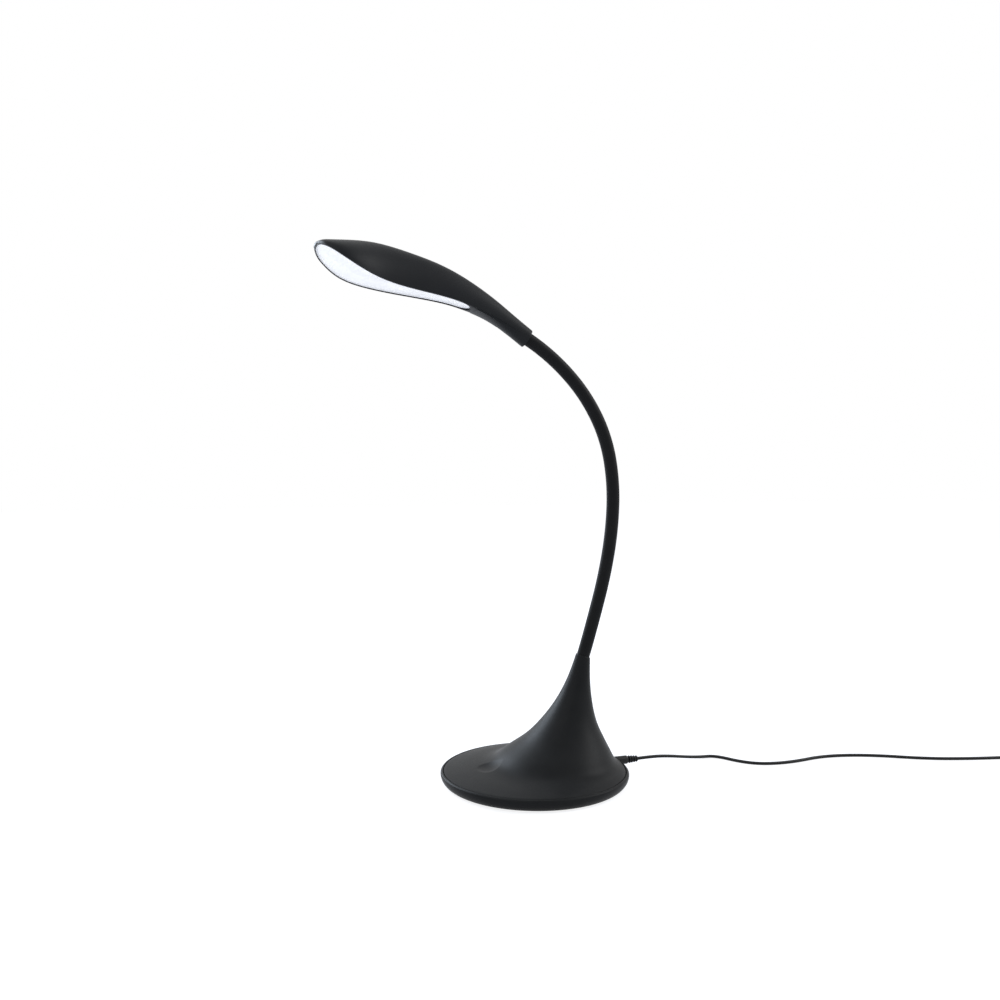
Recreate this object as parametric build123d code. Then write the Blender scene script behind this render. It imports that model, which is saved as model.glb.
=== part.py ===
"""Gooseneck desk lamp: a weighted round base with an off-centre horn, a sleeved flexible neck,
a deep petal-shaped lamp head with a flat LED panel, and a low-voltage lead with its plug-in adapter.

Millimetres, +Z up. The origin is the centre of the base on the table. The lamp is symmetrical about
the XZ plane: the head reaches towards -X and the lead leaves the back of the base towards +X.
Every piece is written to parts/NAME.step.
"""
from build123d import *
from math import atan2, cos, pi, radians, sin, tan
import os

os.makedirs("parts", exist_ok=True)

# ---------------------------------------------------------------- driving dimensions, in millimetres
# base
base_radius = 88.0            # widest radius of the base, on the flank of the tub
base_widest_height = 9.3      # height of that widest line
foot_inset = 5.0              # the flank meets the underside this far inside the widest radius
crease_height = 11.5          # height of the parting crease between tub and cover
crease_inset = 2.2            # the tub's shoulder rounds in by this much up to the crease
cover_seat_depth = 2.0        # the cover's edge stands this deep in the tub's rim
tub_rim_width = 0.6           # flat left on top of the tub's rim
tub_floor = 2.5
tub_wall = 3.2                # at the rim, below the seat
cover_wall = 2.0
pad_inset = 8.5               # the pad's edge lies this far inside the widest radius
pad_thickness = 1.0

# horn of the base cover
horn_height = 103.6           # from the crease to the horn's mouth
horn_setback = 48.9           # the mouth lies this far behind the centre of the base
horn_mouth_radius = 7.0
horn_lean = 18.25             # lean of the mouth and of the neck's start, in degrees back from upright
horn_socket_share = 0.36      # share of the horn's height that is solid and holds the ferrule
# shares of the height, of the radius (1 at the crease, 0 at the mouth), of the setback and of the lean
HORN_STATIONS = [
    (0.000, 1.000, 0.000, 0.0),
    (0.0135, 0.933, 0.086, 0.0),
    (0.030, 0.840, 0.200, 0.0),
    (0.0425, 0.760, 0.2885, 0.0),
    (0.055, 0.705, 0.344, 0.0),
    (0.070, 0.665, 0.380, 0.0),
    (0.101, 0.614, 0.420, 0.0),
    (0.138, 0.568, 0.455, 0.0),
    (0.1785, 0.514, 0.499, 0.0),
    (0.227, 0.447, 0.555, 0.0),
    (0.293, 0.366, 0.618, 0.0),
    (0.381, 0.277, 0.685, 0.1),
    (0.611, 0.121, 0.830, 0.4),
    (0.823, 0.040, 0.930, 0.8),
    (1.000, 0.000, 1.000, 1.0),
]

# touch dimple in the front of the cover
dimple_reach = 45.5           # in front of the centre of the base
dimple_half_length = 13.0     # along Y
dimple_half_width = 8.0       # along X
dimple_depth = 1.3
dimple_surface_height = 17.1  # height of the cover's skin at the dimple's centre
dimple_tilt = 13.5            # slope of the skin there, in degrees
sensor_radius = 9.0
sensor_thickness = 0.8
sensor_boss_radius = 13.0
sensor_boss_floor = 12.9      # height of the flat underside that the sensor is stuck to

# ballast, board and jack inside the base
ballast_inset = 13.5          # the ballast's edge lies this far inside the widest radius
ballast_thickness = 6.0
ballast_notch_half_width = 9.0
ballast_notch_inset = 30.0    # its notch for the jack starts this far inside the widest radius
board_length = 52.0
board_width = 34.0
board_thickness = 1.6
board_centre_x = 24.0
board_standoff = 3.0
board_screw_inset = 3.5
jack_length = 13.0
jack_width = 8.4
jack_bore_radius = 2.85
jack_axis_height = 11.0
jack_face_inset = 12.0        # the jack's mouth face lies this far inside the widest radius
jack_opening_radius = 4.3     # hole through tub and cover

# screws
base_screw_radius = 1.5
base_screw_head_radius = 2.8
base_screw_head_height = 1.5
base_screw_length = 11.0
base_boss_radius = 4.2
base_boss_inset = 27.5        # the bosses stand this far inside the widest radius
base_boss_angles = [48, 132, 228, 312]
small_screw_radius = 1.0
small_screw_head_radius = 1.9
small_screw_head_height = 1.2

# leads inside the base
board_wire_radius = 1.0
wire_end_inset = 5.0          # the leads start this far inside the edges of what they join
jack_lead_run = 3.5           # length of each bend of the lead from the board down to the jack
horn_lead_depth = 6.0         # the horn's lead reaches this far up into the ferrule
horn_lead_run = 14.0          # and hangs straight this far below it
horn_lead_bend = 30.0
horn_lead_foot = 6.0          # it ends this far behind the board's centre

# flexible neck: one fixed length in the horn, seven free lengths, one length in the lamp head
sleeve_radius = 6.15
sleeve_wall = 1.75
core_radius = 4.3
core_bore_radius = 1.7
lead_radius = 1.45
neck_first_length = 14.0
neck_link_length = 43.5
neck_last_length = 14.5
# bend of each length at rest, in degrees towards the front
NECK_TURNS = [1.5, 1.4, 5.5, 7.8, 12.0, 17.6, 15.3, 12.5, 4.65]
ferrule_end_length = 3.5      # thread that stands out below the nut
neck_nut_across_flats = 11.0
neck_nut_height = 4.5
collar_sleeve_depth = 6.0     # the sleeve ends this deep inside the head's collar
head_core_depth = 20.0        # the core ends this deep inside the head's collar

# lamp head, measured from the centre of its collar
hood_length = 192.9           # tip to collar, along X
hood_rise = 72.4              # tip above collar
hood_half_width = 38.5
hood_depth = 34.4             # crown above rim at the deepest place
collar_radius = 8.8
collar_tilt = 30.0            # the collar's face leans by this much, in degrees
hood_wall = 1.8
# shares of length, rise, half width and depth, belly below the rim in millimetres, share of tilt
HOOD_STATIONS = [
    (1.0000, 1.0000, 0.22, 0.045, 0.5, 0.00),
    (0.9860, 0.9630, 0.52, 0.150, 0.6, 0.00),
    (0.9490, 0.8810, 0.85, 0.350, 0.6, 0.00),
    (0.8820, 0.7530, 1.00, 0.650, 0.6, 0.00),
    (0.7400, 0.5940, 0.76, 1.000, 0.6, 0.00),
    (0.5750, 0.5040, 0.53, 0.990, 0.6, 0.13),
    (0.4690, 0.4610, 0.455, 0.890, 0.7, 0.26),
    (0.3630, 0.4060, 0.39, 0.745, 0.8, 0.40),
    (0.2700, 0.3310, 0.333, 0.605, 1.6, 0.58),
    (0.1790, 0.2400, 0.28, 0.465, 3.3, 0.75),
    (0.0850, 0.1150, 0.243, 0.350, 5.8, 0.85),
]
light_end_share = 0.2825      # the light opening's rounded end, as a share of the hood's length
light_end_length = 15.0       # length of that rounded end
light_end_half_width = 15.0

# light unit, heights measured up from the rim
panel_recess = 0.7            # the frame's face above the rim
diffuser_recess = 1.5
diffuser_thickness = 1.4
frame_height = 6.0
frame_floor = 1.2
frame_lip = 1.5
led_board_thickness = 1.0
led_height = 0.7
led_length = 3.5
led_width = 2.8
led_row_gap = 11.0
led_columns = 9
led_strip_share = 0.3732      # length of the LED strip, as a share of the hood's length
led_strip_centre_share = 0.66 # and where its centre is
led_board_half_width = 11.0
spreader_thickness = 1.5
spreader_half_width = 12.0
spreader_start_share = 0.54   # the spreader leaves the board's rear end free for its leads
post_radius = 2.6
post_shares = (0.865, 0.455)  # two posts that carry the frame, as shares of the hood's length
post_screw_length = 7.5
lead_entry_share = 0.50       # where the leads pass through the frame's floor
lead_entry_side = 7.0         # and how far beside the middle
lead_arch_height = 5.8        # the leads turn down into the frame this far above its floor
lead_arch_run = 17.0          # after a run of this length along the frame
lead_arch_rise = 0.5          # that rises by this much
lead_tail_length = 18.0       # length after the turn, before it is trimmed at the LED board
lead_trim_reach = 4.0

# inside the head's shank
bush_end_depth = 22.0         # the clamp bush ends this deep inside the collar
bush_wall = 1.0
shank_bore_radius = 3.0       # way for the leads from the bush to the light room
shank_bore_end_share = 0.32   # where that way opens into the room, as a share of the hood's length
shank_bore_end_lift = 11.0    # and how far above the rim
shank_cover_shares = (0.265, 0.140)

# lead, plug and adapter
cord_diameter = 3.8
cord_length = 1500.0
plug_radius = 4.0
plug_pin_radius = 2.75
plug_pin_length = 9.5
plug_length = 20.5            # from the jack's face to the start of the strain relief
relief_length = 10.0
relief_start_radius = 3.7
relief_end_radius = 2.7
relief_ring_depth = 0.8
relief_ring_width = 1.0
relief_ring_pitch = 2.2
relief_rings = 4
# the cord's route to the coil: points chosen by hand and joined by arcs, X from the strain relief's end
CORD_ROUTE = [
    (0, 0, 11.0), (17.5, 0.5, 11.4), (36.5, 2, 9.4), (55.5, 6, 5.6), (74.5, 11, 2.6), (92.5, 12, 2.0),
    (106.5, -14, 2.0), (124.5, -27, 2.0), (155.5, -30, 2.0), (197.5, -22, 2.0), (243.5, -34, 2.0),
    (289.5, -62, 2.0), (333.5, -76, 2.0), (373.5, -84, 2.0), (398.5, -100, 2.0),
]
corner_share = 0.45           # share of the shorter run that an arc takes up at each of its ends
coil_mean_radius = 22.0
coil_bundle_radius = 5.9
tie_width = 6.0
tie_thickness = 0.8
tie_angles = (160, 340)       # where the two ties hold the coil, in degrees
tail_points = [(0.9, -19.5, 4.5), (0, -40.5, 8.0), (0, -58.0, 8.0)]  # from the middle of the last turn
adapter_length = 58.0
adapter_width = 36.0
adapter_height = 30.0
adapter_edge = 3.0
adapter_relief_length = 16.0
adapter_relief_radius = 3.6
mains_pin_radius = 2.0
mains_pin_length = 19.0       # in front of the case
mains_pin_spacing = 18.6
mains_pin_root = 8.0          # length of each pin inside the case
mains_pin_root_radius = 1.5
mains_pin_step = 0.3          # the thick part of a pin starts this far in front of the case

# clearances
seat_gap = 0.05               # between pieces that are fixed together
parting_gap = 0.2             # visible line between two covers
bead_gap = 0.3                # free space between one neck length's rounded end and the next one's cup
overlap = 1.0                 # how far a cutting tool runs past a face
room_drop = 3.0               # the light room is cut this far down through the rim


# ---------------------------------------------------------------- helpers
def keep(name, shape):
    """Write one piece to its own file."""
    export_step(shape, f"parts/{name}.step")
    print(f"{name:22s} {shape.volume / 1000:9.2f} cm3")


def disc(radius, low, high, x=0.0, y=0.0):
    """Upright cylinder between two heights."""
    return Pos(x, y, (low + high) / 2) * Cylinder(radius, high - low)


def block(x, y, low, length, width, height):
    """Box on a centre point, standing on the height low."""
    return Pos(x, y, low + height / 2) * Box(length, width, height)


def rod(radius, start, direction, length):
    """Cylinder from a point along a direction."""
    plane = Plane(origin=start, z_dir=direction)
    return plane * Pos(0, 0, length / 2) * Cylinder(radius, length)


def pipe(radius, bore, start, direction, length):
    """Pipe from a point along a direction."""
    plane = Plane(origin=start, z_dir=direction)
    return plane * extrude(Circle(radius) - Circle(bore), length)


def countersunk_screw(radius, head_radius, head_height, length):
    """Screw with its head's flat face at z = 0 and its shank upwards."""
    head = Pos(0, 0, head_height / 2) * Cone(head_radius, radius, head_height)
    return head + Pos(0, 0, length / 2) * Cylinder(radius, length)


def pan_screw(radius, head_radius, head_height, length):
    """Screw with its head below z = 0 and its shank upwards."""
    head = Pos(0, 0, -head_height / 2) * Cylinder(head_radius, head_height)
    return head + Pos(0, 0, length / 2) * Cylinder(radius, length)


def wire(radius, bend, *points):
    """Round wire along straight runs that are joined by arcs."""
    path = FilletPolyline(*points, radius=bend) if len(points) > 2 else Line(*points)
    return sweep(Plane(origin=path @ 0, z_dir=path % 0) * Circle(radius), path=path)


# ---------------------------------------------------------------- base
foot_radius = base_radius - foot_inset
pad_radius = base_radius - pad_inset
ballast_radius = base_radius - ballast_inset
ballast_notch_start = base_radius - ballast_notch_inset
base_boss_circle = base_radius - base_boss_inset
jack_face_x = base_radius - jack_face_inset
relief_start_x = jack_face_x + plug_length
relief_end_x = relief_start_x + relief_length
tub_bottom = pad_thickness
ballast_bottom = tub_bottom + tub_floor + seat_gap
ballast_top = ballast_bottom + ballast_thickness
cover_bottom = crease_height - cover_seat_depth
crease_radius = base_radius - crease_inset
seat_radius = crease_radius - tub_rim_width
cover_radius = seat_radius - parting_gap
tub_inner_radius = seat_radius - tub_wall


def make_tub():
    """Bottom tray: bulging flank, flat floor and the rim that takes the cover's edge."""
    shoulder_rise = crease_height - base_widest_height
    flank_drop = base_widest_height - tub_bottom
    shoulder_size = (crease_inset**2 + shoulder_rise**2) / (2 * crease_inset)
    shoulder_angle = atan2(shoulder_rise, shoulder_size - crease_inset) / 2
    flank_size = (foot_inset**2 + flank_drop**2) / (2 * foot_inset)
    flank_angle = atan2(flank_drop, flank_size - foot_inset) / 2
    crease = (crease_radius, crease_height)
    widest = (base_radius, base_widest_height)
    foot = (foot_radius, tub_bottom)
    shoulder_mid = (base_radius - shoulder_size * (1 - cos(shoulder_angle)),
                    base_widest_height + shoulder_size * sin(shoulder_angle))
    flank_mid = (base_radius - flank_size * (1 - cos(flank_angle)),
                 base_widest_height - flank_size * sin(flank_angle))
    inside = [
        crease,
        (seat_radius, crease_height),
        (seat_radius, cover_bottom),
        (tub_inner_radius, cover_bottom),
        (tub_inner_radius, tub_bottom + tub_floor),
        (0, tub_bottom + tub_floor),
        (0, tub_bottom),
        foot,
    ]
    outline = Polyline(*inside)
    outline += ThreePointArc(foot, flank_mid, widest)
    outline += ThreePointArc(widest, shoulder_mid, crease)
    return revolve(Plane.XZ * make_face(outline), Axis.Z)


def horn_loft(inset):
    """Solid of the cover's skin, moved inwards by an inset."""
    sections = []
    for height, radius, setback, lean in HORN_STATIONS:
        level = crease_height + height * horn_height - inset
        size = horn_mouth_radius + radius * (cover_radius - horn_mouth_radius) - inset
        plane = Plane(origin=(setback * horn_setback, 0, level), x_dir=(0, 1, 0),
                      z_dir=(sin(radians(lean * horn_lean)), 0, cos(radians(lean * horn_lean))))
        sections.append(plane * Circle(size))
    return loft(sections)


horn_mouth = Vector(horn_setback, 0, crease_height + horn_height)
horn_axis = Vector(sin(radians(horn_lean)), 0, cos(radians(horn_lean)))
horn_socket_depth = horn_socket_share * horn_height
ferrule_length = horn_socket_depth + neck_nut_height + ferrule_end_length
boss_places = [(base_boss_circle * cos(radians(a)), base_boss_circle * sin(radians(a)))
               for a in base_boss_angles]
board_bottom = ballast_top + board_standoff
board_hole_x = board_length / 2 - board_screw_inset
board_hole_y = board_width / 2 - board_screw_inset
board_holes = [(board_centre_x + i * board_hole_x, j * board_hole_y)
               for i in (-1, 1) for j in (-1, 1)]
# the hole for the plug, turned so that its own seam stays clear of the cover's seams
jack_plane = Plane(origin=(jack_face_x - overlap, 0, jack_axis_height), x_dir=(0, 3, 4), z_dir=(1, 0, 0))
jack_drill = jack_plane * extrude(Circle(jack_opening_radius), 2 * jack_face_inset)


def make_cover():
    """Top shell: disc edge, horn, screw bosses, sensor boss, touch dimple, jack opening and ferrule bore."""
    top = crease_height + horn_height
    skin = disc(cover_radius, cover_bottom, crease_height) + horn_loft(0)
    socket_start = horn_mouth - horn_axis * horn_socket_depth
    room = horn_loft(cover_wall)
    room -= rod(base_radius, socket_start, horn_axis, horn_height)
    room -= [disc(base_boss_radius, cover_bottom - overlap, top, x, y) for x, y in boss_places]
    room -= disc(sensor_boss_radius, sensor_boss_floor, top, -dimple_reach)
    shell = skin - room
    shell += [disc(base_boss_radius, ballast_bottom, crease_height + overlap, x, y) for x, y in boss_places]
    dish_radius = (dimple_half_width**2 + dimple_depth**2) / (2 * dimple_depth)
    dish_lift = dish_radius - dimple_depth
    dish = scale(Sphere(dish_radius), by=(1, dimple_half_length / dimple_half_width, 1))
    dish = Pos(-dimple_reach - dish_lift * sin(radians(dimple_tilt)), 0,
               dimple_surface_height + dish_lift * cos(radians(dimple_tilt))) * dish
    cuts = [disc(base_screw_radius + seat_gap, tub_bottom, tub_bottom + base_screw_length + overlap, x, y)
            for x, y in boss_places]
    cuts.append(jack_drill)
    cuts.append(rod(core_radius + seat_gap, horn_mouth - horn_axis * ferrule_length, horn_axis,
                    ferrule_length + overlap))
    return shell - dish - cuts


def make_ballast():
    """Cast disc with room for the screw bosses, the jack and the board's standoffs."""
    plate = disc(ballast_radius, ballast_bottom, ballast_top)
    for x, y in boss_places:
        plate -= disc(base_boss_radius + parting_gap, ballast_bottom - overlap, ballast_top + overlap, x, y)
    plate -= block(ballast_notch_start + ballast_radius / 2, 0, ballast_bottom - overlap, ballast_radius,
                   2 * ballast_notch_half_width, ballast_thickness + 2 * overlap)
    for x, y in board_holes:
        plate += disc(small_screw_head_radius + overlap, ballast_top, board_bottom, x, y)
        plate -= disc(small_screw_radius + seat_gap, ballast_bottom + overlap, board_bottom + overlap, x, y)
    return plate


tub = make_tub()
for x, y in boss_places:
    tub -= Pos(x, y, tub_bottom) * countersunk_screw(
        base_screw_radius + seat_gap, base_screw_head_radius + seat_gap, base_screw_head_height,
        tub_floor + overlap)
tub -= jack_drill
keep("base_tub", tub)
keep("base_cover", make_cover())
keep("foot_pad", disc(pad_radius, 0, pad_thickness))
keep("ballast_disc", make_ballast())
base_screw = countersunk_screw(base_screw_radius, base_screw_head_radius, base_screw_head_height,
                               base_screw_length)
keep("base_screws", Compound(children=[Pos(x, y, tub_bottom) * base_screw for x, y in boss_places]))

board = block(board_centre_x, 0, board_bottom, board_length, board_width, board_thickness)
board_top = board_bottom + board_thickness
for x, y in board_holes:
    board -= disc(small_screw_radius + seat_gap, board_bottom - overlap, board_top + overlap, x, y)
keep("control_board", board)
# parts on the board: x and y from its centre, then length, width and height
BOARD_CHIPS = [(-12, 6, 8, 8, 5.0), (-12, -7, 6, 5, 1.6), (14, -8, 8, 6, 5.5), (14, 8, 8, 6, 5.5)]
# the same for round parts: x and y, radius and height
BOARD_CANS = [(2, 8, 4.0, 9.0), (2, -8, 3.0, 7.0)]
chips = [block(board_centre_x + x, y, board_top, length, width, height)
         for x, y, length, width, height in BOARD_CHIPS]
cans = [disc(radius, board_top, board_top + height, board_centre_x + x, y)
        for x, y, radius, height in BOARD_CANS]
keep("board_parts", Compound(children=chips + cans))
board_screw = Rot(180, 0, 0) * pan_screw(small_screw_radius, small_screw_head_radius,
                                         small_screw_head_height, board_thickness + board_standoff)
keep("board_screws", Compound(children=[Pos(x, y, board_top) * board_screw for x, y in board_holes]))
sensor_bottom = sensor_boss_floor - sensor_thickness
keep("touch_sensor", disc(sensor_radius, sensor_bottom, sensor_boss_floor - seat_gap / 2, -dimple_reach))

jack_low = jack_axis_height - jack_width / 2
jack_middle = jack_face_x - jack_length / 2
jack = block(jack_middle, 0, jack_low, jack_length, jack_width, jack_width)
jack += block(jack_middle, 0, tub_bottom + tub_floor, jack_length, jack_width,
              jack_low - tub_bottom - tub_floor)
jack -= rod(jack_bore_radius, (jack_face_x - plug_pin_length - overlap, 0, jack_axis_height), (1, 0, 0),
            jack_length)
keep("dc_jack", jack)

# leads inside the base: board to jack, sensor to board, and board to neck up through the horn
wire_lift = board_wire_radius + seat_gap / 2
board_rear = board_centre_x + board_length / 2
board_front = board_centre_x - board_length / 2
jack_lead = wire(board_wire_radius, 2 * board_wire_radius,
                 (board_rear - wire_end_inset, 0, board_top + wire_lift),
                 (board_rear + jack_lead_run, 0, board_top + wire_lift),
                 (board_rear + 2 * jack_lead_run, 0, jack_axis_height),
                 (jack_face_x - jack_length - seat_gap, 0, jack_axis_height))
sensor_lead = wire(board_wire_radius, 0,
                   (-dimple_reach + wire_end_inset, 0, sensor_bottom - wire_lift),
                   (board_front + wire_end_inset, 0, board_bottom - wire_lift))
horn_lead = wire(lead_radius, horn_lead_bend,
                 horn_mouth - horn_axis * (ferrule_length - horn_lead_depth),
                 horn_mouth - horn_axis * (ferrule_length + horn_lead_run),
                 (board_centre_x + horn_lead_foot, 0, board_top + seat_gap))
keep("base_leads", Compound(children=[jack_lead, sensor_lead, horn_lead]))

# ---------------------------------------------------------------- neck
class NeckLength:
    """One circular length of the neck in the XZ plane."""

    def __init__(self, start, angle, length, turn):
        self.start = start
        self.angle = angle
        self.turn = turn
        self.end_angle = angle + turn
        self.bend = length / radians(turn)
        self.centre = start + Vector(-sin(radians(angle)), 0, cos(radians(angle))) * self.bend
        across = Vector(sin(radians(self.end_angle)), 0, -cos(radians(self.end_angle)))
        self.end = self.centre + across * self.bend
        self.start_direction = Vector(cos(radians(angle)), 0, sin(radians(angle)))
        self.end_direction = Vector(cos(radians(self.end_angle)), 0, sin(radians(self.end_angle)))

    def tube(self, radius, bore=0.0):
        """Round bar or pipe along the length."""
        section = Circle(radius) - Circle(bore) if bore else Circle(radius)
        plane = Plane(origin=self.start, x_dir=(0, 1, 0), z_dir=self.start_direction)
        return revolve(plane * section, axis=Axis(self.centre, (0, -1, 0)), revolution_arc=self.turn)

    def dome(self, radius, hollow):
        """Half ball on the upper end, turned from a quarter disc that a hollow is cut out of."""
        quarter = (Circle(radius) & Pos(radius / 2, radius / 2) * Rectangle(radius, radius)) - hollow
        plane = Plane(origin=self.end, x_dir=(0, 1, 0), z_dir=Vector(0, 1, 0).cross(self.end_direction))
        return revolve(plane * quarter, axis=Axis(self.end, self.end_direction))

    def cup(self):
        """Space that the dome of the length below needs."""
        return Plane(origin=self.start, z_dir=self.start_direction) * Sphere(sleeve_radius + bead_gap)


link_lengths = [neck_first_length] + [neck_link_length] * (len(NECK_TURNS) - 2) + [neck_last_length]
neck = []
place, heading = horn_mouth, 90 - horn_lean
for length, turn in zip(link_lengths, NECK_TURNS):
    neck.append(NeckLength(place, heading, length, turn))
    place, heading = neck[-1].end, neck[-1].end_angle
sleeve_bore = sleeve_radius - sleeve_wall
last = len(neck) - 1
collar = neck[-1].end
collar_axis = neck[-1].end_direction

for number, part in enumerate(neck):
    sleeve = part.tube(sleeve_radius, sleeve_bore)
    core = part.tube(core_radius, core_bore_radius)
    if number > 0:
        sleeve -= part.cup()
        core -= part.cup()
    if number == last:
        sleeve += pipe(sleeve_radius, sleeve_bore, collar, collar_axis, collar_sleeve_depth)
        core += pipe(core_radius, core_bore_radius, collar, collar_axis, head_core_depth)
    else:
        sleeve += part.dome(sleeve_radius, Circle(sleeve_bore))
        core += part.dome(core_radius, Rectangle(2 * core_bore_radius, 4 * core_radius))
    if number == 0:
        core += pipe(core_radius, core_bore_radius, part.start, horn_axis * -1, ferrule_length)
        keep("neck_ferrule", core)
    else:
        keep(f"neck_core_{number}", core)
        if number < last:
            keep(f"neck_lead_{number}", part.tube(lead_radius) - part.cup())
    keep(f"neck_sleeve_{number}", sleeve)

nut_plane = Plane(origin=horn_mouth - horn_axis * (horn_socket_depth + neck_nut_height + seat_gap),
                  z_dir=horn_axis)
nut = nut_plane * extrude(RegularPolygon(neck_nut_across_flats / 2, 6, major_radius=False), neck_nut_height)
nut -= rod(core_radius + seat_gap, horn_mouth, horn_axis * -1, ferrule_length + overlap)
keep("neck_nut", nut)

# ---------------------------------------------------------------- lamp head
class HoodStation:
    """One cross-section of the hood: its place on the rim line, its widths and its tilt."""

    def __init__(self, length, rise, width, depth, belly, tilt):
        self.x = collar.X - length * hood_length
        self.z = collar.Z + rise * hood_rise
        self.width = width * hood_half_width
        self.depth = depth * hood_depth
        self.belly = belly
        self.tilt = tilt * collar_tilt

    def plane(self, lift=0.0):
        """Plane of the section, with its Y axis up across the hood."""
        lean = radians(self.tilt)
        origin = Vector(self.x, 0, self.z) + Vector(sin(lean), 0, cos(lean)) * lift
        return Plane(origin=origin, x_dir=(0, 1, 0), z_dir=(cos(lean), 0, -sin(lean)))


def egg(plane, half_width, up, down):
    """Section face: an elliptical crown over a flatter elliptical belly."""
    crown = EllipticalCenterArc((0, 0), half_width, up, start_angle=0, arc_size=180)
    belly = EllipticalCenterArc((0, 0), half_width, down, start_angle=180, arc_size=180)
    return plane * make_face(crown + belly)


stations = [HoodStation(*row) for row in HOOD_STATIONS]
collar_plane = Plane(origin=collar, x_dir=(0, 1, 0), z_dir=collar_axis * -1)


def hood_outer():
    """Solid of the whole head's skin."""
    sections = [egg(s.plane(), s.width, s.depth, s.belly) for s in stations]
    return loft(sections + [egg(collar_plane, collar_radius, collar_radius, collar_radius)])


def light_room(gap, drop):
    """Space above the light opening: a gap inside the hood's wall and a drop down through the rim."""
    inset = hood_wall + gap
    space = loft([egg(s.plane(), s.width - inset, s.depth - inset, drop) for s in stations[1:-1]])
    end_centre = share_x(light_end_share) - light_end_length
    plan = Pos(end_centre - hood_length / 2, 0) * Rectangle(hood_length, 2 * hood_half_width)
    plan += Pos(end_centre, 0) * Ellipse(light_end_length - gap, light_end_half_width - gap)
    return space & Pos(0, 0, collar.Z) * extrude(plan, hood_rise + 2 * hood_depth)


def rim_layer(low, high):
    """Curved slab that follows the rim line between two heights above it."""
    lower = Spline(*[(x, z + low) for x, z in rim_points])
    upper = Spline(*[(x, z + high) for x, z in rim_points])
    ends = [Line(lower @ 0, upper @ 0), Line(lower @ 1, upper @ 1)]
    face = Plane.XZ * make_face(lower + upper + ends)
    return extrude(face, amount=2 * hood_half_width, both=True)


def share_x(share):
    """X at a share of the hood's length from the collar."""
    return collar.X - share * hood_length


def slice_between(near_share, far_share, half_width):
    """Upright block across the hood between two shares of its length."""
    low, high = share_x(far_share), share_x(near_share)
    height = 2 * (hood_rise + hood_depth)
    return Pos((low + high) / 2, 0, collar.Z + hood_rise / 2) * Box(high - low, 2 * half_width, height)


def rim_plane(share, lift):
    """Plane above the rim line at a share of the hood's length, with its Z axis square to the line."""
    low, high = 0.0, 1.0
    for _ in range(30):
        middle = (low + high) / 2
        if (rim_line @ middle).X < share_x(share):
            low = middle
        else:
            high = middle
    point = rim_line @ low
    along = rim_line % low
    return Plane(origin=(point.X, 0, point.Y + lift), x_dir=(0, 1, 0), z_dir=(-along.Y, 0, along.X))


rim_points = [(s.x, s.z) for s in stations] + [(collar.X, collar.Z)]
rim_line = Spline(*rim_points)
frame_top = panel_recess + frame_height
post_planes = [rim_plane(share, frame_top + seat_gap) for share in post_shares]
small_hole = small_screw_radius + seat_gap
bush_radius = core_radius + seat_gap + bush_wall
bore_start = collar + collar_axis * (bush_end_depth - overlap)
bore_end = rim_plane(shank_bore_end_share, shank_bore_end_lift).origin
hood = hood_outer()
room = light_room(0, room_drop)
room -= [plane * Pos(0, 0, hood_depth) * Cylinder(post_radius, 2 * hood_depth) for plane in post_planes]
shank_bores = [
    rod(sleeve_radius + seat_gap, collar - collar_axis * overlap, collar_axis, collar_sleeve_depth + overlap),
    rod(bush_radius + seat_gap, collar, collar_axis, bush_end_depth + seat_gap),
    rod(shank_bore_radius, bore_start, bore_end - bore_start, (bore_end - bore_start).length),
]
screw_hole = Pos(0, 0, post_screw_length / 2) * Cylinder(small_hole, post_screw_length)
shell = hood - room - shank_bores
shell -= [plane * screw_hole for plane in post_planes]
far_share, near_share = shank_cover_shares
cover_margin = parting_gap / hood_length
shell -= rim_layer(-hood_depth, 0) & slice_between(
    near_share - cover_margin, far_share + cover_margin, hood_half_width)
keep("head_shell", shell)
shank_cover = rim_layer(-hood_depth, -seat_gap) & slice_between(near_share, far_share, hood_half_width)
shank_cover = hood & shank_cover
shank_cover -= shank_bores[-1]
keep("shank_cover", shank_cover)

frame_hollow_top = frame_top - frame_floor
frame = light_room(parting_gap, seat_gap) & rim_layer(panel_recess, frame_top)
frame -= light_room(parting_gap + frame_lip, seat_gap) & rim_layer(0, frame_hollow_top)
frame -= [plane * Cylinder(small_hole, 2 * (frame_floor + overlap)) for plane in post_planes]
lead_hole_plane = rim_plane(lead_entry_share, frame_top)
frame -= disc(lead_radius + parting_gap, collar.Z, lead_hole_plane.origin.Z + overlap,
              share_x(lead_entry_share), lead_entry_side)
keep("light_frame", frame)
diffuser = light_room(parting_gap + frame_lip + seat_gap, seat_gap) & rim_layer(
    diffuser_recess, diffuser_recess + diffuser_thickness)
keep("diffuser", diffuser)

led_board_top = frame_hollow_top - seat_gap
led_board_low = led_board_top - led_board_thickness
strip_start = led_strip_centre_share - led_strip_share / 2
strip_end = led_strip_centre_share + led_strip_share / 2
led_board = rim_layer(led_board_low, led_board_top)
led_board &= slice_between(strip_start, strip_end, led_board_half_width)
keep("led_board", led_board)
led_layer = rim_layer(led_board_low - led_height, led_board_low - seat_gap / 2)
led_pitch = led_strip_share * hood_length / led_columns
led_places = [(share_x(strip_start) - (i + 0.5) * led_pitch, j * led_row_gap / 2)
              for i in range(led_columns) for j in (-1, 1)]
leds = [led_layer & Pos(x, y, collar.Z + hood_rise / 2) * Box(led_length, led_width, 2 * hood_rise)
        for x, y in led_places]
keep("leds", Compound(children=[solid for led in leds for solid in led.solids()]))
spreader_low = frame_top + seat_gap
spreader = rim_layer(spreader_low, spreader_low + spreader_thickness) & slice_between(
    spreader_start_share, strip_end, spreader_half_width)
keep("heat_spreader", spreader)
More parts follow.
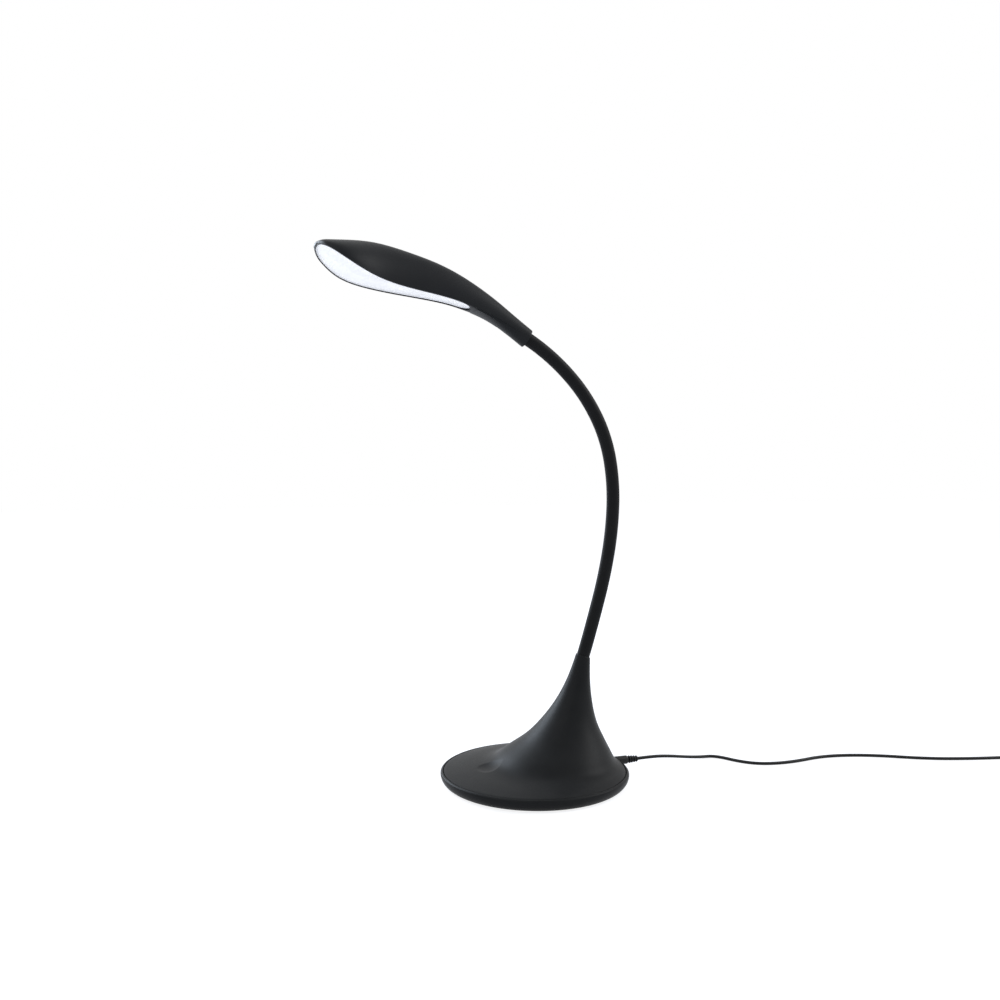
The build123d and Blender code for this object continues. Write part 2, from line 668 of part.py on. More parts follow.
head_screw = Pos(0, 0, -seat_gap - frame_floor) * pan_screw(
    small_screw_radius, small_screw_head_radius, small_screw_head_height, post_screw_length)
keep("head_screws", Compound(children=[plane * head_screw for plane in post_planes]))

bush_start = collar + collar_axis * (collar_sleeve_depth + seat_gap)
bush = rod(bush_radius, bush_start, collar_axis, bush_end_depth - collar_sleeve_depth - seat_gap)
bush -= rod(core_radius + seat_gap, collar, collar_axis, head_core_depth + seat_gap)
bush -= rod(lead_radius + seat_gap, collar, collar_axis, bush_end_depth + overlap)
keep("head_bush", bush)

lead_x = share_x(lead_entry_share)
lead_level = lead_hole_plane.origin.Z + lead_arch_height
head_lead = wire(lead_radius, 2.5 * lead_radius,
                 collar + collar_axis * (head_core_depth - lead_trim_reach),
                 bore_start + collar_axis * overlap,
                 bore_end,
                 (lead_x + lead_arch_run, lead_entry_side, lead_level - lead_arch_rise),
                 (lead_x, lead_entry_side, lead_level),
                 (lead_x, lead_entry_side, lead_level - lead_tail_length))
trim_share = lead_trim_reach / hood_length
lead_trim = rim_layer(-hood_depth, led_board_top + seat_gap) & slice_between(
    lead_entry_share - trim_share, lead_entry_share + trim_share, hood_half_width)
keep("head_leads", head_lead - lead_trim)

# ---------------------------------------------------------------- lead, plug and adapter
plug_back = jack_face_x + seat_gap
plug = rod(plug_radius, (plug_back, 0, jack_axis_height), (1, 0, 0), relief_start_x - plug_back)
cone_length = relief_length - seat_gap
cone_plane = Plane(origin=(relief_start_x + cone_length / 2, 0, jack_axis_height), z_dir=(1, 0, 0))
plug += cone_plane * Cone(relief_start_radius, relief_end_radius, cone_length)
ring_taper = (relief_start_radius - relief_end_radius) / relief_rings
for number in range(relief_rings):
    ring_x = relief_start_x + overlap + number * relief_ring_pitch
    core_size = relief_start_radius - relief_ring_depth - number * ring_taper
    plug -= pipe(plug_radius + overlap, core_size, (ring_x, 0, jack_axis_height), (1, 0, 0),
                 relief_ring_width)
keep("plug_body", plug)
keep("plug_pin", rod(plug_pin_radius, (jack_face_x - plug_pin_length, 0, jack_axis_height), (1, 0, 0),
                     plug_pin_length + seat_gap))


def cord_path(points):
    """Straight runs joined by arcs as wide as the runs allow."""
    route = [Vector(*point) for point in points]
    radii = []
    for before, corner, after in zip(route, route[1:], route[2:]):
        run = min((corner - before).length, (after - corner).length)
        turn = (corner - before).get_angle(after - corner)
        radii.append(corner_share * run / tan(radians(turn) / 2))
    print("cord radii", [round(radius) for radius in radii])
    return FilletPolyline(*points, radius=radii)


def cord_piece(points):
    """Round cord along a route."""
    path = cord_path(points)
    piece = sweep(Plane(origin=path @ 0, z_dir=path % 0) * Circle(cord_diameter / 2), path=path)
    print("length", round(path.length, 1), "volume", round(piece.volume),
          "section times length", round(path.length * pi * cord_diameter**2 / 4))
    return piece, path.length


cord_route = [(relief_end_x + x, y, z) for x, y, z in CORD_ROUTE]
route_end = Vector(*cord_route[-1])
arrival = route_end - Vector(*cord_route[-2])
coil_side = Vector(arrival.Y, -arrival.X, 0).normalized()
coil_height = coil_bundle_radius + tie_thickness + seat_gap
coil_centre = Vector(route_end.X, route_end.Y, coil_height) + coil_side * coil_mean_radius
coil = Pos(*coil_centre) * Torus(coil_mean_radius, coil_bundle_radius)
tube, tube_length = cord_piece(cord_route)
last_turn = coil_centre + Vector(coil_mean_radius, 0, 0)
tail_route = [tuple(last_turn)] + [(last_turn.X + x, last_turn.Y + y, z) for x, y, z in tail_points]
tail, tail_length = cord_piece(tail_route)
keep("cord_tube", tube - coil)
keep("cord_coil", coil)
keep("cord_tail", tail - coil)
coil_length = cord_length - tube_length - tail_length
print("turns in the coil", round(coil_length / (2 * pi * coil_mean_radius), 1))

tie_ring = Pos(coil_mean_radius, 0) * (Circle(coil_bundle_radius + seat_gap + tie_thickness)
                                       - Circle(coil_bundle_radius + seat_gap))
tie_turn = tie_width / coil_mean_radius * 180 / pi
tie = revolve(Plane.XZ * tie_ring, Axis.Z, revolution_arc=tie_turn)
keep("cord_ties", Compound(children=[Pos(*coil_centre) * Rot(0, 0, angle) * tie for angle in tie_angles]))

tail_end = Vector(*tail_route[-1])
case_front = tail_end.Y - adapter_relief_length
case = block(tail_end.X, case_front - adapter_length / 2, 0, adapter_width, adapter_length, adapter_height)
case = fillet(case.edges(), adapter_edge)
pin_places = [(tail_end.X + adapter_width / 2, case_front - adapter_length / 2 + side * mains_pin_spacing / 2,
               adapter_height / 2) for side in (-1, 1)]
pins = []
for x, y, z in pin_places:
    case -= rod(mains_pin_root_radius + seat_gap, (x - mains_pin_root - seat_gap, y, z), (1, 0, 0),
                mains_pin_root + overlap)
    root = rod(mains_pin_root_radius, (x - mains_pin_root, y, z), (1, 0, 0), mains_pin_root + mains_pin_step)
    pins.append(root + rod(mains_pin_radius, (x + mains_pin_step, y, z), (1, 0, 0),
                           mains_pin_length - mains_pin_step))
keep("adapter_case", case)
keep("adapter_pins", Compound(children=pins))
relief_middle = tail_end.Y - (adapter_relief_length + seat_gap) / 2
relief_plane = Plane(origin=(tail_end.X, relief_middle, tail_end.Z), z_dir=(0, -1, 0))
keep("adapter_relief", relief_plane * Cone(relief_end_radius, adapter_relief_radius,
                                           adapter_relief_length - seat_gap))
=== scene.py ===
"""Dresses the gooseneck desk lamp: its skins and finishes, its lead, and a small white studio.

Metres, +Z up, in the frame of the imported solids. Sizes and tables are written in millimetres and
become metres where a mesh is made. The head reaches towards -X and the lead leaves towards +X.
"""
from math import acos, atan2, ceil, cos, pi, radians, sin, sqrt

import bmesh
import bpy
import numpy as np
from mathutils import Matrix, Vector


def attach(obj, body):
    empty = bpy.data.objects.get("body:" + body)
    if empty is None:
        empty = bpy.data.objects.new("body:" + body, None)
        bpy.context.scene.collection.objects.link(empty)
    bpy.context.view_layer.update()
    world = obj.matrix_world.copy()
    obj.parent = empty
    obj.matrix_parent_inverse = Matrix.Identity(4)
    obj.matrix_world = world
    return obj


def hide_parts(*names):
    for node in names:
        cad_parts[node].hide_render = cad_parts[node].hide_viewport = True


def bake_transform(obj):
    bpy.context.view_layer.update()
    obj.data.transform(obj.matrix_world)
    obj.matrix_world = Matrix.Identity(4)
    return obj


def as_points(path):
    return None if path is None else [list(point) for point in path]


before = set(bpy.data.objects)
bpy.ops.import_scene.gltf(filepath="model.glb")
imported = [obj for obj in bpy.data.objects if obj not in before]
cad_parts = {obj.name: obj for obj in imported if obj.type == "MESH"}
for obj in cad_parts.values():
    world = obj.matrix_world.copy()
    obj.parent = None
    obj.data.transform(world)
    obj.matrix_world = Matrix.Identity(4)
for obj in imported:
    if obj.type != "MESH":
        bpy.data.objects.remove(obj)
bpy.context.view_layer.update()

bl_info = {
    "name": "Gooseneck desk lamp",
    "version": (1, 0, 0),
    "blender": (4, 5, 0),
    "location": "View3D > Sidebar > Desk lamp",
    "description": "Builds the skins, finishes, lead and studio of a gooseneck desk lamp",
    "category": "Object",
}

MM = 0.001
WELD = 0.002        # millimetres: corners closer than this become one
SEAT_GAP = 0.05     # between pieces that are fixed together

# base: share of the horn's height, share of its radius, share of its setback, share of its lean
HORN_STATIONS = [
    (0.000, 1.000, 0.000, 0.0), (0.0135, 0.933, 0.086, 0.0), (0.030, 0.840, 0.200, 0.0),
    (0.0425, 0.760, 0.2885, 0.0), (0.055, 0.705, 0.344, 0.0), (0.070, 0.665, 0.380, 0.0),
    (0.101, 0.614, 0.420, 0.0), (0.138, 0.568, 0.455, 0.0), (0.1785, 0.514, 0.499, 0.0),
    (0.227, 0.447, 0.555, 0.0), (0.293, 0.366, 0.618, 0.0), (0.381, 0.277, 0.685, 0.1),
    (0.611, 0.121, 0.830, 0.4), (0.823, 0.040, 0.930, 0.8), (1.000, 0.000, 1.000, 1.0),
]
HORN_SETBACK = 48.9
HORN_HEIGHT = 103.6
HORN_MOUTH_RADIUS = 7.0
HORN_LEAN = 18.25
HORN_SOCKET = 37.3
DIMPLE_TILT = 13.5           # lean of the touch dimple with the skin round it
COVER_WALL = 2.0
CREASE_HEIGHT = 11.5
SEAT_HEIGHT = 9.5
TUB_UNDERSIDE = 1.0
TUB_FLOOR = 3.5
JACK_AXIS_HEIGHT = 11.0
JACK_OPENING_RADIUS = 4.3
JACK_DRILL = (75.0, 20.0)    # start from the base's centre and length of the cut for the plug's opening
COVER_EDGE_GAP = 0.8         # the cover's edge lies this far inside the tub's crease
COVER_RING_PITCH = 1.2       # between the cover's rings, and closer where they cross the dimple
DIMPLE_RING_PITCH = 0.45
DIMPLE_FAN = 19.0            # half of the angle with close columns, in degrees
DIMPLE_SOFTNESS = 0.12       # rounds the dimple's rim
TUB_RIM_INSET = 0.6          # the rim's inside from the crease
TUB_WALL = 3.2

# neck: bend of each length at rest, in degrees towards the front
NECK_TURNS = [1.5, 1.4, 5.5, 7.8, 12.0, 17.6, 15.3, 12.5, 4.65]
NECK_START_ANGLE = 71.75
NECK_FIRST_LENGTH = 14.0
NECK_LINK_LENGTH = 43.5
NECK_LAST_LENGTH = 14.5
CORE_BORE = 4.4
COLLAR_SLEEVE_DEPTH = 6.0
SLEEVE_FIT = 0.1             # between the sleeve and the collar's recess
SLEEVE_SIDES = 48
SLEEVE_PITCH = 1.5           # between the sleeve's rings

# hood: share of length, share of rise, share of half width, share of depth, belly in mm, share of tilt
HOOD_STATIONS = [
    (1.0000, 1.0000, 0.22, 0.045, 0.5, 0.00), (0.9860, 0.9630, 0.52, 0.150, 0.6, 0.00),
    (0.9490, 0.8810, 0.85, 0.350, 0.6, 0.00), (0.8820, 0.7530, 1.00, 0.650, 0.6, 0.00),
    (0.7400, 0.5940, 0.76, 1.000, 0.6, 0.00), (0.5750, 0.5040, 0.53, 0.990, 0.6, 0.13),
    (0.4690, 0.4610, 0.455, 0.890, 0.7, 0.26), (0.3630, 0.4060, 0.39, 0.745, 0.8, 0.40),
    (0.2700, 0.3310, 0.333, 0.605, 1.6, 0.58), (0.1790, 0.2400, 0.28, 0.465, 3.3, 0.75),
    (0.0850, 0.1150, 0.243, 0.350, 5.8, 0.85),
]
COLLAR_RADIUS = 8.8
COLLAR_TILT = 30.0
COLLAR_ROUND = 0.45
HOOD_WALL = 1.8
OPENING_REAR = 54.5          # the light opening starts this far from the collar
OPENING_REAR_LENGTH = 15.0
OPENING_REAR_HALF_WIDTH = 15.0
OPENING_FRONT_LENGTH = 21.8
OPENING_TIP_LIP = 1.2
OPENING_TIP_POWER = 2.3      # 2 would be an ellipse; more is squarer
OPENING_SOFTNESS = 0.5       # rounds the corners between the opening's arcs
CREASE_LEDGE = 0.9           # the belly of the shank is this much narrower than its crown
CREASE_START = 6.0           # the ledge starts here, from the collar,
CREASE_GROWTH = 30.0         # is full after this length,
CREASE_OVERLAP = 8.0         # ends this far past the opening's rear
CREASE_FADE = 14.0           # and fades over this length
FRAME_INSET, FRAME_LEVELS, FRAME_ROOM = 0.2, (0.7, 6.7), (1.7, 5.5)
SHEET_INSET, SHEET_LEVELS = 1.75, (1.5, 2.9)
SHANK_COVER = (27.0, 51.1)   # the cover under the shank, from and to, from the collar
SHANK_COVER_SHARE = 0.86     # of the shank's width
SHANK_COVER_LEVELS = (-0.12, 0.8)

# the lead's route from the plug to the coil: given points
CORD_ROUTE = [
    (106.5, 0, 11.0), (124, 0.5, 11.4), (143, 2, 9.4), (162, 6, 5.6), (181, 11, 2.2), (199, 12, 1.5),
    (213, -14, 1.5), (231, -27, 1.5), (262, -30, 1.5), (304, -22, 1.5), (350, -34, 1.5),
    (396, -62, 1.5), (440, -76, 1.5), (480, -84, 1.5), (507, -97, 1.8),
]
COIL_CENTRE = (493.14, -118.5)
COIL_START_ANGLE = 45.0
COIL_TURNS = 7.125
COIL_TURN_POINTS = 14
COIL_OUTER = 27.4
COIL_INNER = 17.6
COIL_FIRST_LEVEL = 1.95
COIL_LAYER_RISE = 2.8
COIL_CLIMB = (0.88, 0.12)    # a layer climbs to the next one from this share on, over that share
COIL_LEAVE = (0.80, 0.20)    # the same for the last layer, which swings out to the tail
COIL_LEAVE_SWING = 2.5       # past the coil's outside
CORD_TAIL = [
    (522.5, -133, 8.6), (518, -147, 7.6), (515.14, -160, 8.0), (515.14, -175, 8.0), (515.14, -187, 8.0),
]
LEAD_WAIST = 0.35            # share of a core's radius by which the flat lead narrows between its cores

# ties: angles on the coil, room past the coil's turns, levels, corner, wall from and to, and half width
TIE_ANGLES = (166, 346)
TIE_ROOM = 2.3
TIE_LEVELS = (0.45, 11.2)
TIE_CORNER = 2.5
TIE_WALL = (2.1, 2.9)
TIE_HALF_WIDTH = 3.0

# plug: (along, radius) of the grip with its strain relief
PLUG_START = 76.05
PLUG_PROFILE = [(0, 0), (0, 4.0), (18.6, 4.0), (20.2, 2.4), (30.4, 2.1), (30.4, 0)]
PLUG_FIRST_RIB = 97.4
RIB_PITCH = 2.5

# adapter: an end's edge and the cap's seam as (along, inset); pins and relief as (along, radius)
ADAPTER_CENTRE_X = 515.14
ADAPTER_FRONT = -192.53
ADAPTER_LENGTH = 58.0
ADAPTER_HALF_WIDTH = 18.0
ADAPTER_HALF_HEIGHT = 15.0
ADAPTER_CORNER = 4.5
ADAPTER_EDGE = [(0.0, 3.4), (0.35, 1.9), (1.1, 0.8), (2.4, 0.15), (3.6, 0.0)]
ADAPTER_SEAM = [(9.5, 0.0), (9.7, 0.45), (10.2, 0.45), (10.4, 0.0)]
ADAPTER_MIDDLE = 34.0
RELIEF_START = -176.5
RELIEF_LEVEL = 8.0
RELIEF_PROFILE = [(0, 0), (0, 3.0), (1.5, 3.0), (15.9, 3.7), (15.9, 0)]
RELIEF_FIRST_RIB = -178.6
PIN_DEPTH = 8.0              # the pins' roots inside the case
PIN_SPREAD = 9.3             # from the middle between the pins
PIN_PROFILE = [(0, 0), (0, 1.5), (8.3, 1.5), (8.3, 2.0), (25.6, 2.0), (26.5, 1.6), (27.0, 0.8), (27.0, 0)]
PIN_COLLAR_PROFILE = [(7.9, 1.5), (7.9, 2.5), (8.4, 2.5), (8.9, 2.06), (17.6, 2.06), (17.8, 2.0)]

# studio, in metres: the camera's place, right and up; the lamps' places, aims, sizes, watts and tints
CAMERA_PLACE = (-0.30536, -0.83896, 0.29453)
CAMERA_RIGHT = (0.95148, -0.30772, 0)
CAMERA_UP = (0.01074, 0.03321, 0.99939)
CAMERA_LENS, CAMERA_SENSOR = 34.61, 36.0
SOFT_BOXES = (
    ("soft_box_left", (-1.3, -0.6, 1.5), (0, 0, 0.2), 1.2, 5.5, (1, 1, 1)),
    ("soft_box_back", (-0.9, 1.5, 0.9), (0, 0, 0.1), 1.0, 30.0, (0.78, 0.88, 1.0)),
    ("soft_box_right", (1.5, -0.3, 1.3), (0, 0, 0.3), 1.0, 16.0, (1, 1, 1)),
)
TABLE_HALF_SIZE = 6.0


def linear(code):
    """Linear RGBA of an sRGB hex colour."""
    shares = [int(code[i:i + 2], 16) / 255 for i in (1, 3, 5)]
    return [c / 12.92 if c <= 0.04045 else ((c + 0.055) / 1.055) ** 2.4 for c in shares] + [1.0]


def clamp(value):
    """The value, kept between zero and one."""
    return min(1.0, max(0.0, value))


# ---------------------------------------------------------------- sizes and colours a user may change
def size(name, description, default):
    """Length property in metres, from millimetres."""
    return bpy.props.FloatProperty(name=name, description=description, default=default * MM, min=0.0,
                                   subtype="DISTANCE", unit="LENGTH", precision=4)


def colour(name, description, code):
    """Colour property from an sRGB hex value."""
    return bpy.props.FloatVectorProperty(name=name, description=description, default=linear(code), size=4,
                                         min=0.0, max=1.0, subtype="COLOR")


class LampSizes(bpy.types.PropertyGroup):
    """Sizes of the lamp's skins."""
    base_radius: size("Base radius", "Widest radius of the tub", 88.0)
    base_widest: size("Widest height", "Height of the tub's widest line", 9.3)
    foot_radius: size("Foot radius", "Radius where the tub's flank meets its underside", 83.0)
    crease_inset: size("Crease inset", "How far the tub's shoulder rounds in", 2.2)
    horn_height: size("Horn height", "From the crease to the horn's mouth", HORN_HEIGHT)
    dimple_reach: size("Dimple reach", "Touch dimple in front of the base's centre", 45.5)
    dimple_length: size("Dimple length", "Half length across the lamp", 13.0)
    dimple_width: size("Dimple width", "Half width along the lamp", 8.0)
    dimple_depth: size("Dimple depth", "Depth of the touch dimple", 1.3)
    dimple_height: size("Dimple height", "Height of the skin over the dimple's centre", 17.1)
    sleeve_radius: size("Sleeve radius", "Outer radius of the neck's sleeve", 6.15)
    sleeve_wall: size("Sleeve wall", "Wall of the neck's sleeve", 1.75)
    hood_length: size("Hood length", "From the collar to the tip", 192.9)
    hood_rise: size("Hood rise", "Height of the tip over the collar", 72.4)
    hood_half_width: size("Hood half width", "Half width at the widest place", 38.5)
    hood_depth: size("Hood depth", "Crown above the rim at the deepest place", 34.4)
    cord_length: size("Lead length", "Length of the lead from plug to adapter", 1500.0)
    cord_width: size("Lead width", "Width of the flat twin lead", 3.8)
    cord_height: size("Lead height", "Height of the flat twin lead", 2.9)


class LampColours(bpy.types.PropertyGroup):
    """Colours of the lamp's finishes."""
    base_skin: colour("Base", "Soft-touch paint of the base", "#0f1113")
    hood_skin: colour("Hood", "Soft-touch paint of the hood", "#17191c")
    sleeve: colour("Sleeve", "Silicone of the neck", "#0e0f11")
    panel: colour("Panel frame", "White of the light panel's frame", "#f4f5f8")
    diffuser: colour("Diffuser", "Opal sheet under the lamps", "#f4f4f5")
    lead: colour("Lead", "PVC of the lead and its plug", "#050607")
    adapter: colour("Adapter", "Case of the plug-in adapter", "#17181a")


def sizes(context):
    """The sizes in millimetres, by name."""
    group = context.scene.lamp_sizes
    return {name: getattr(group, name) / MM for name in LampSizes.__annotations__}


# ---------------------------------------------------------------- nodes and finishes
def add(tree, kind, inputs=None, **settings):
    """Add a node with its settings; an input that is given a socket is linked to it."""
    node = tree.nodes.new(kind)
    for key, value in settings.items():
        setattr(node, key, value)
    for key, value in (inputs or {}).items():
        if isinstance(value, bpy.types.NodeSocket):
            tree.links.new(value, node.inputs[key])
        else:
            node.inputs[key].default_value = value
    return node


def surface(name, main, drift, patch_mm, grain_mm, relief_mm, roughness, stretch=(1, 1, 1), sockets=None):
    """Principled finish: two tones that drift in patches, a spread of roughness and a fine relief."""
    material = bpy.data.materials.new(name)
    material.use_nodes = True
    tree = material.node_tree
    shader = tree.nodes["Principled BSDF"]
    place = add(tree, "ShaderNodeTexCoord").outputs["Object"]
    turned = add(tree, "ShaderNodeMapping", {"Vector": place, "Scale": stretch}).outputs["Vector"]
    patches = add(tree, "ShaderNodeTexNoise", {"Vector": turned, "Scale": 1 / (patch_mm * MM), "Detail": 3.0})
    grain = add(tree, "ShaderNodeTexNoise", {"Vector": turned, "Scale": 1 / (grain_mm * MM), "Detail": 2.0})
    tone = add(tree, "ShaderNodeMix", {0: patches.outputs["Fac"], 6: main, 7: drift}, data_type="RGBA")
    spread = add(tree, "ShaderNodeMapRange", {"Value": grain.outputs["Fac"], "From Min": 0.25,
                                              "From Max": 0.75, "To Min": roughness[0],
                                              "To Max": roughness[1]})
    relief = add(tree, "ShaderNodeBump", {"Height": grain.outputs["Fac"], "Strength": 1.0,
                                          "Distance": relief_mm * MM})
    tree.links.new(tone.outputs[2], shader.inputs["Base Color"])
    tree.links.new(spread.outputs["Result"], shader.inputs["Roughness"])
    tree.links.new(relief.outputs["Normal"], shader.inputs["Normal"])
    for key, value in (sockets or {}).items():
        shader.inputs[key].default_value = value
    return material


def mixed(one, other, share):
    """Colour between two colours."""
    return [a + (b - a) * share for a, b in zip(one, other)]


SOFT_TOUCH = {"IOR": 1.46, "Specular IOR Level": 0.10, "Sheen Weight": 0.01, "Sheen Roughness": 0.45}
METAL = {"Metallic": 1.0}
SHARED_COLOUR = {"plug": "lead"}    # the plug has the lead's colour

# Finishes in a user's colour: key, name, the colour it drifts to and by what share, size of patches and of
# grain and height of relief in mm, lowest and highest roughness, and what its shader's sockets hold.
TINTED = (
    # Soft-touch paint, sprayed on moulded ABS: a satin film that stays dark where it is seen square on and
    # greys towards grazing edges. Its real grain of 0.1 mm is drawn at 1.2 mm so that it shows.
    ("base_skin", "soft_touch_paint_base", "#ffffff", 0.006, 18.0, 1.2, 0.012, (0.40, 0.50), SOFT_TOUCH),
    ("hood_skin", "soft_touch_paint_hood", "#ffffff", 0.006, 18.0, 1.2, 0.012, (0.40, 0.50), SOFT_TOUCH),
    # Moulded silicone sleeve: near black, with a dry satin skin. Its 0.1 mm bloom is drawn at 0.9 mm.
    ("sleeve", "silicone_sleeve_moulded", "#ffffff", 0.004, 9.0, 0.9, 0.004, (0.46, 0.58),
     {"IOR": 1.41, "Specular IOR Level": 0.12}),
    # Gloss white ABS, moulded: a clean bright edge round the light panel.
    ("panel", "white_abs_moulded_gloss", "#000000", 0.02, 14.0, 1.5, 0.004, (0.22, 0.30), {"IOR": 1.52}),
    # Opal acrylic, extruded with a matt prism face: milky white with faint grey cells about 2 mm wide.
    # Its weak emission is painted light: a glow that stands in for the light falling on the sheet.
    ("diffuser", "opal_acrylic_matt", "#c9cace", 0.75, 22.0, 2.2, 0.030, (0.35, 0.55),
     {"IOR": 1.49, "Emission Color": linear("#ffffff"), "Emission Strength": 0.10}),
    # PVC, moulded plug and extruded lead: smooth black with a soft shine; flow marks drawn at 1.4 mm.
    ("plug", "pvc_plug_moulded", "#ffffff", 0.01, 4.0, 1.4, 0.015, (0.36, 0.48),
     {"IOR": 1.53, "Specular IOR Level": 0.20}),
    ("lead", "pvc_lead_extruded", "#ffffff", 0.008, 12.0, 1.4, 0.010, (0.40, 0.50),
     {"IOR": 1.53, "Specular IOR Level": 0.15}),
    # Spark-eroded polycarbonate of the adapter: an even matt grain of 0.3 mm, drawn at 0.8 mm.
    ("adapter", "polycarbonate_spark_grain", "#ffffff", 0.01, 16.0, 0.8, 0.05, (0.50, 0.62),
     {"IOR": 1.58, "Specular IOR Level": 0.40}),
)

# Finishes in their own colours: key, name, both tones, patches, grain and relief in mm, roughness, how much
# closer the pattern is along X, Y and Z, and the shader's sockets.
PLAIN = (
    # Hook-and-loop nylon tape, woven: loops of 0.4 mm drawn at 0.7 mm, fully matt.
    ("tie", "nylon_loop_tape_woven", "#141517", "#26282b", 1.5, 0.7, 0.20, (0.85, 0.95), (1, 1, 2),
     {"Sheen Weight": 0.4}),
    # Nickel-plated brass, turned: a warm grey metal with fine turning marks along the pin.
    ("nickel", "nickel_plate_turned", "#c9c4ba", "#b3ada1", 3.0, 0.4, 0.006, (0.20, 0.32), (6, 1, 1), METAL),
    # Nylon insulating collars of the pins, moulded.
    ("collar", "nylon_collar_moulded", "#101113", "#191a1d", 3.0, 0.7, 0.01, (0.45, 0.55), (1, 1, 1),
     {"IOR": 1.53}),
    # EVA foam of the foot, die cut: closed cells of 0.3 mm drawn at 0.9 mm.
    ("pad_foam", "eva_foam_die_cut", "#17181a", "#222427", 2.5, 0.9, 0.12, (0.85, 0.95), (1, 1, 1),
     {"IOR": 1.48}),
    # Cast iron ballast, sand cast and left raw: coarse 1.5 mm skin and dull brown-grey tone.
    ("cast_iron", "cast_iron_sand_cast", "#4b4947", "#35302d", 12.0, 1.5, 0.25, (0.60, 0.80), (1, 1, 1),
     {"Metallic": 0.8}),
    # Zinc-plated steel screws and nut, bright with a bluish passivation.
    ("steel", "steel_zinc_plated", "#b9bec6", "#9aa1ac", 2.0, 0.5, 0.01, (0.25, 0.38), (1, 1, 1), METAL),
    # Glass-epoxy board with green solder mask over a 0.5 mm weave.
    ("board_green", "glass_epoxy_solder_mask", "#1f5a34", "#2a6b40", 2.0, 0.5, 0.02, (0.30, 0.42), (1, 1, 1),
     {"IOR": 1.55}),
    # Transfer-moulded epoxy of chips and connectors.
    ("component_black", "epoxy_transfer_moulded", "#1a1a1c", "#232326", 3.0, 0.5, 0.01, (0.50, 0.60),
     (1, 1, 1), {"IOR": 1.55}),
    # Copper foil of the touch sensor, rolled along Y.
    ("copper_foil", "copper_foil_rolled", "#c98057", "#b86f48", 4.0, 0.5, 0.01, (0.25, 0.40), (6, 1, 6),
     METAL),
    # Coiled spring steel of the neck's core, oiled and dark.
    ("core_steel", "spring_steel_oiled", "#5e6064", "#494b4f", 2.0, 0.6, 0.03, (0.35, 0.50), (1, 1, 1),
     METAL),
    # PVC insulation of the inner wires, extruded.
    ("wire_pvc", "pvc_wire_extruded", "#8f1d1d", "#a22626", 3.0, 0.8, 0.01, (0.35, 0.45), (1, 1, 1),
     {"IOR": 1.53}),
    # Yellow phosphor cups of the lamps, cast silicone.
    ("led_yellow", "led_phosphor_cast", "#f2d35a", "#e8c243", 1.0, 0.4, 0.01, (0.25, 0.35), (1, 1, 1),
     {"IOR": 1.43}),
    # Aluminium spreader, rolled sheet with faint lines along X.
    ("aluminium", "aluminium_sheet_rolled", "#d2d4d7", "#bfc2c6", 5.0, 0.5, 0.01, (0.30, 0.42), (1, 6, 6),
     METAL),
    # Brass clamp bush, turned.
    ("brass_bush", "brass_turned", "#c9a557", "#b9944a", 3.0, 0.4, 0.01, (0.22, 0.34), (6, 1, 1), METAL),
)


def make_finishes(colours):
    """Every finish of the lamp, by its short name."""
    made = {}
    for key, name, other, share, patch, grain, relief, roughness, sockets in TINTED:
        tone = list(getattr(colours, SHARED_COLOUR.get(key, key)))
        drift = mixed(tone, linear(other), share)
        made[key] = surface(name, tone, drift, patch, grain, relief, roughness, sockets=sockets)
    for key, name, main, drift, patch, grain, relief, roughness, stretch, sockets in PLAIN:
        made[key] = surface(name, linear(main), linear(drift), patch, grain, relief, roughness, stretch,
                            sockets)
    return made


FINISHES = {}


def finish_of(key):
    """A finish, all of them made at the first call."""
    if not FINISHES:
        FINISHES.update(make_finishes(bpy.context.scene.lamp_colours))
    return FINISHES[key]


# ---------------------------------------------------------------- mesh helpers
def course(rows, measure=2):
    """Natural cubic spline through rows of numbers, as a function that gives the row at a length, and the
    whole length. Lengths are measured in the first columns.
    """
    rows = np.array(rows, float)
    knots = np.concatenate([[0], np.cumsum(np.linalg.norm(np.diff(rows[:, :measure], axis=0), axis=1))])
    gaps, count = np.diff(knots), len(rows)
    matrix, right = np.zeros((count, count)), np.zeros_like(rows)
    matrix[0, 0] = matrix[-1, -1] = 1
    for i in range(1, count - 1):
        matrix[i, i - 1:i + 2] = gaps[i - 1], 2 * (gaps[i - 1] + gaps[i]), gaps[i]
        right[i] = 6 * ((rows[i + 1] - rows[i]) / gaps[i] - (rows[i] - rows[i - 1]) / gaps[i - 1])
    bends = np.linalg.solve(matrix, right)

    def at(length):
        i = int(min(max(np.searchsorted(knots, length) - 1, 0), count - 2))
        a, b = (knots[i + 1] - length) / gaps[i], (length - knots[i]) / gaps[i]
        bend = (a**3 - a) * bends[i] + (b**3 - b) * bends[i + 1]
        return a * rows[i] + b * rows[i + 1] + bend * gaps[i] ** 2 / 6

    return at, float(knots[-1])


def steps(start, end, pitch):
    """Even values from start to end, about a pitch apart."""
    return list(np.linspace(start, end, max(2, ceil(abs(end - start) / pitch) + 1)))


def grid(rows, columns, ring=True, loop=False):
    """Quads over rows of points; ring closes each row and loop joins the last row to the first."""
    faces = []
    for r in range(rows if loop else rows - 1):
        low, high = r * columns, (r + 1) % rows * columns
        for c in range(columns if ring else columns - 1):
            d = (c + 1) % columns
            faces.append((low + c, low + d, high + d, high + c))
    return faces


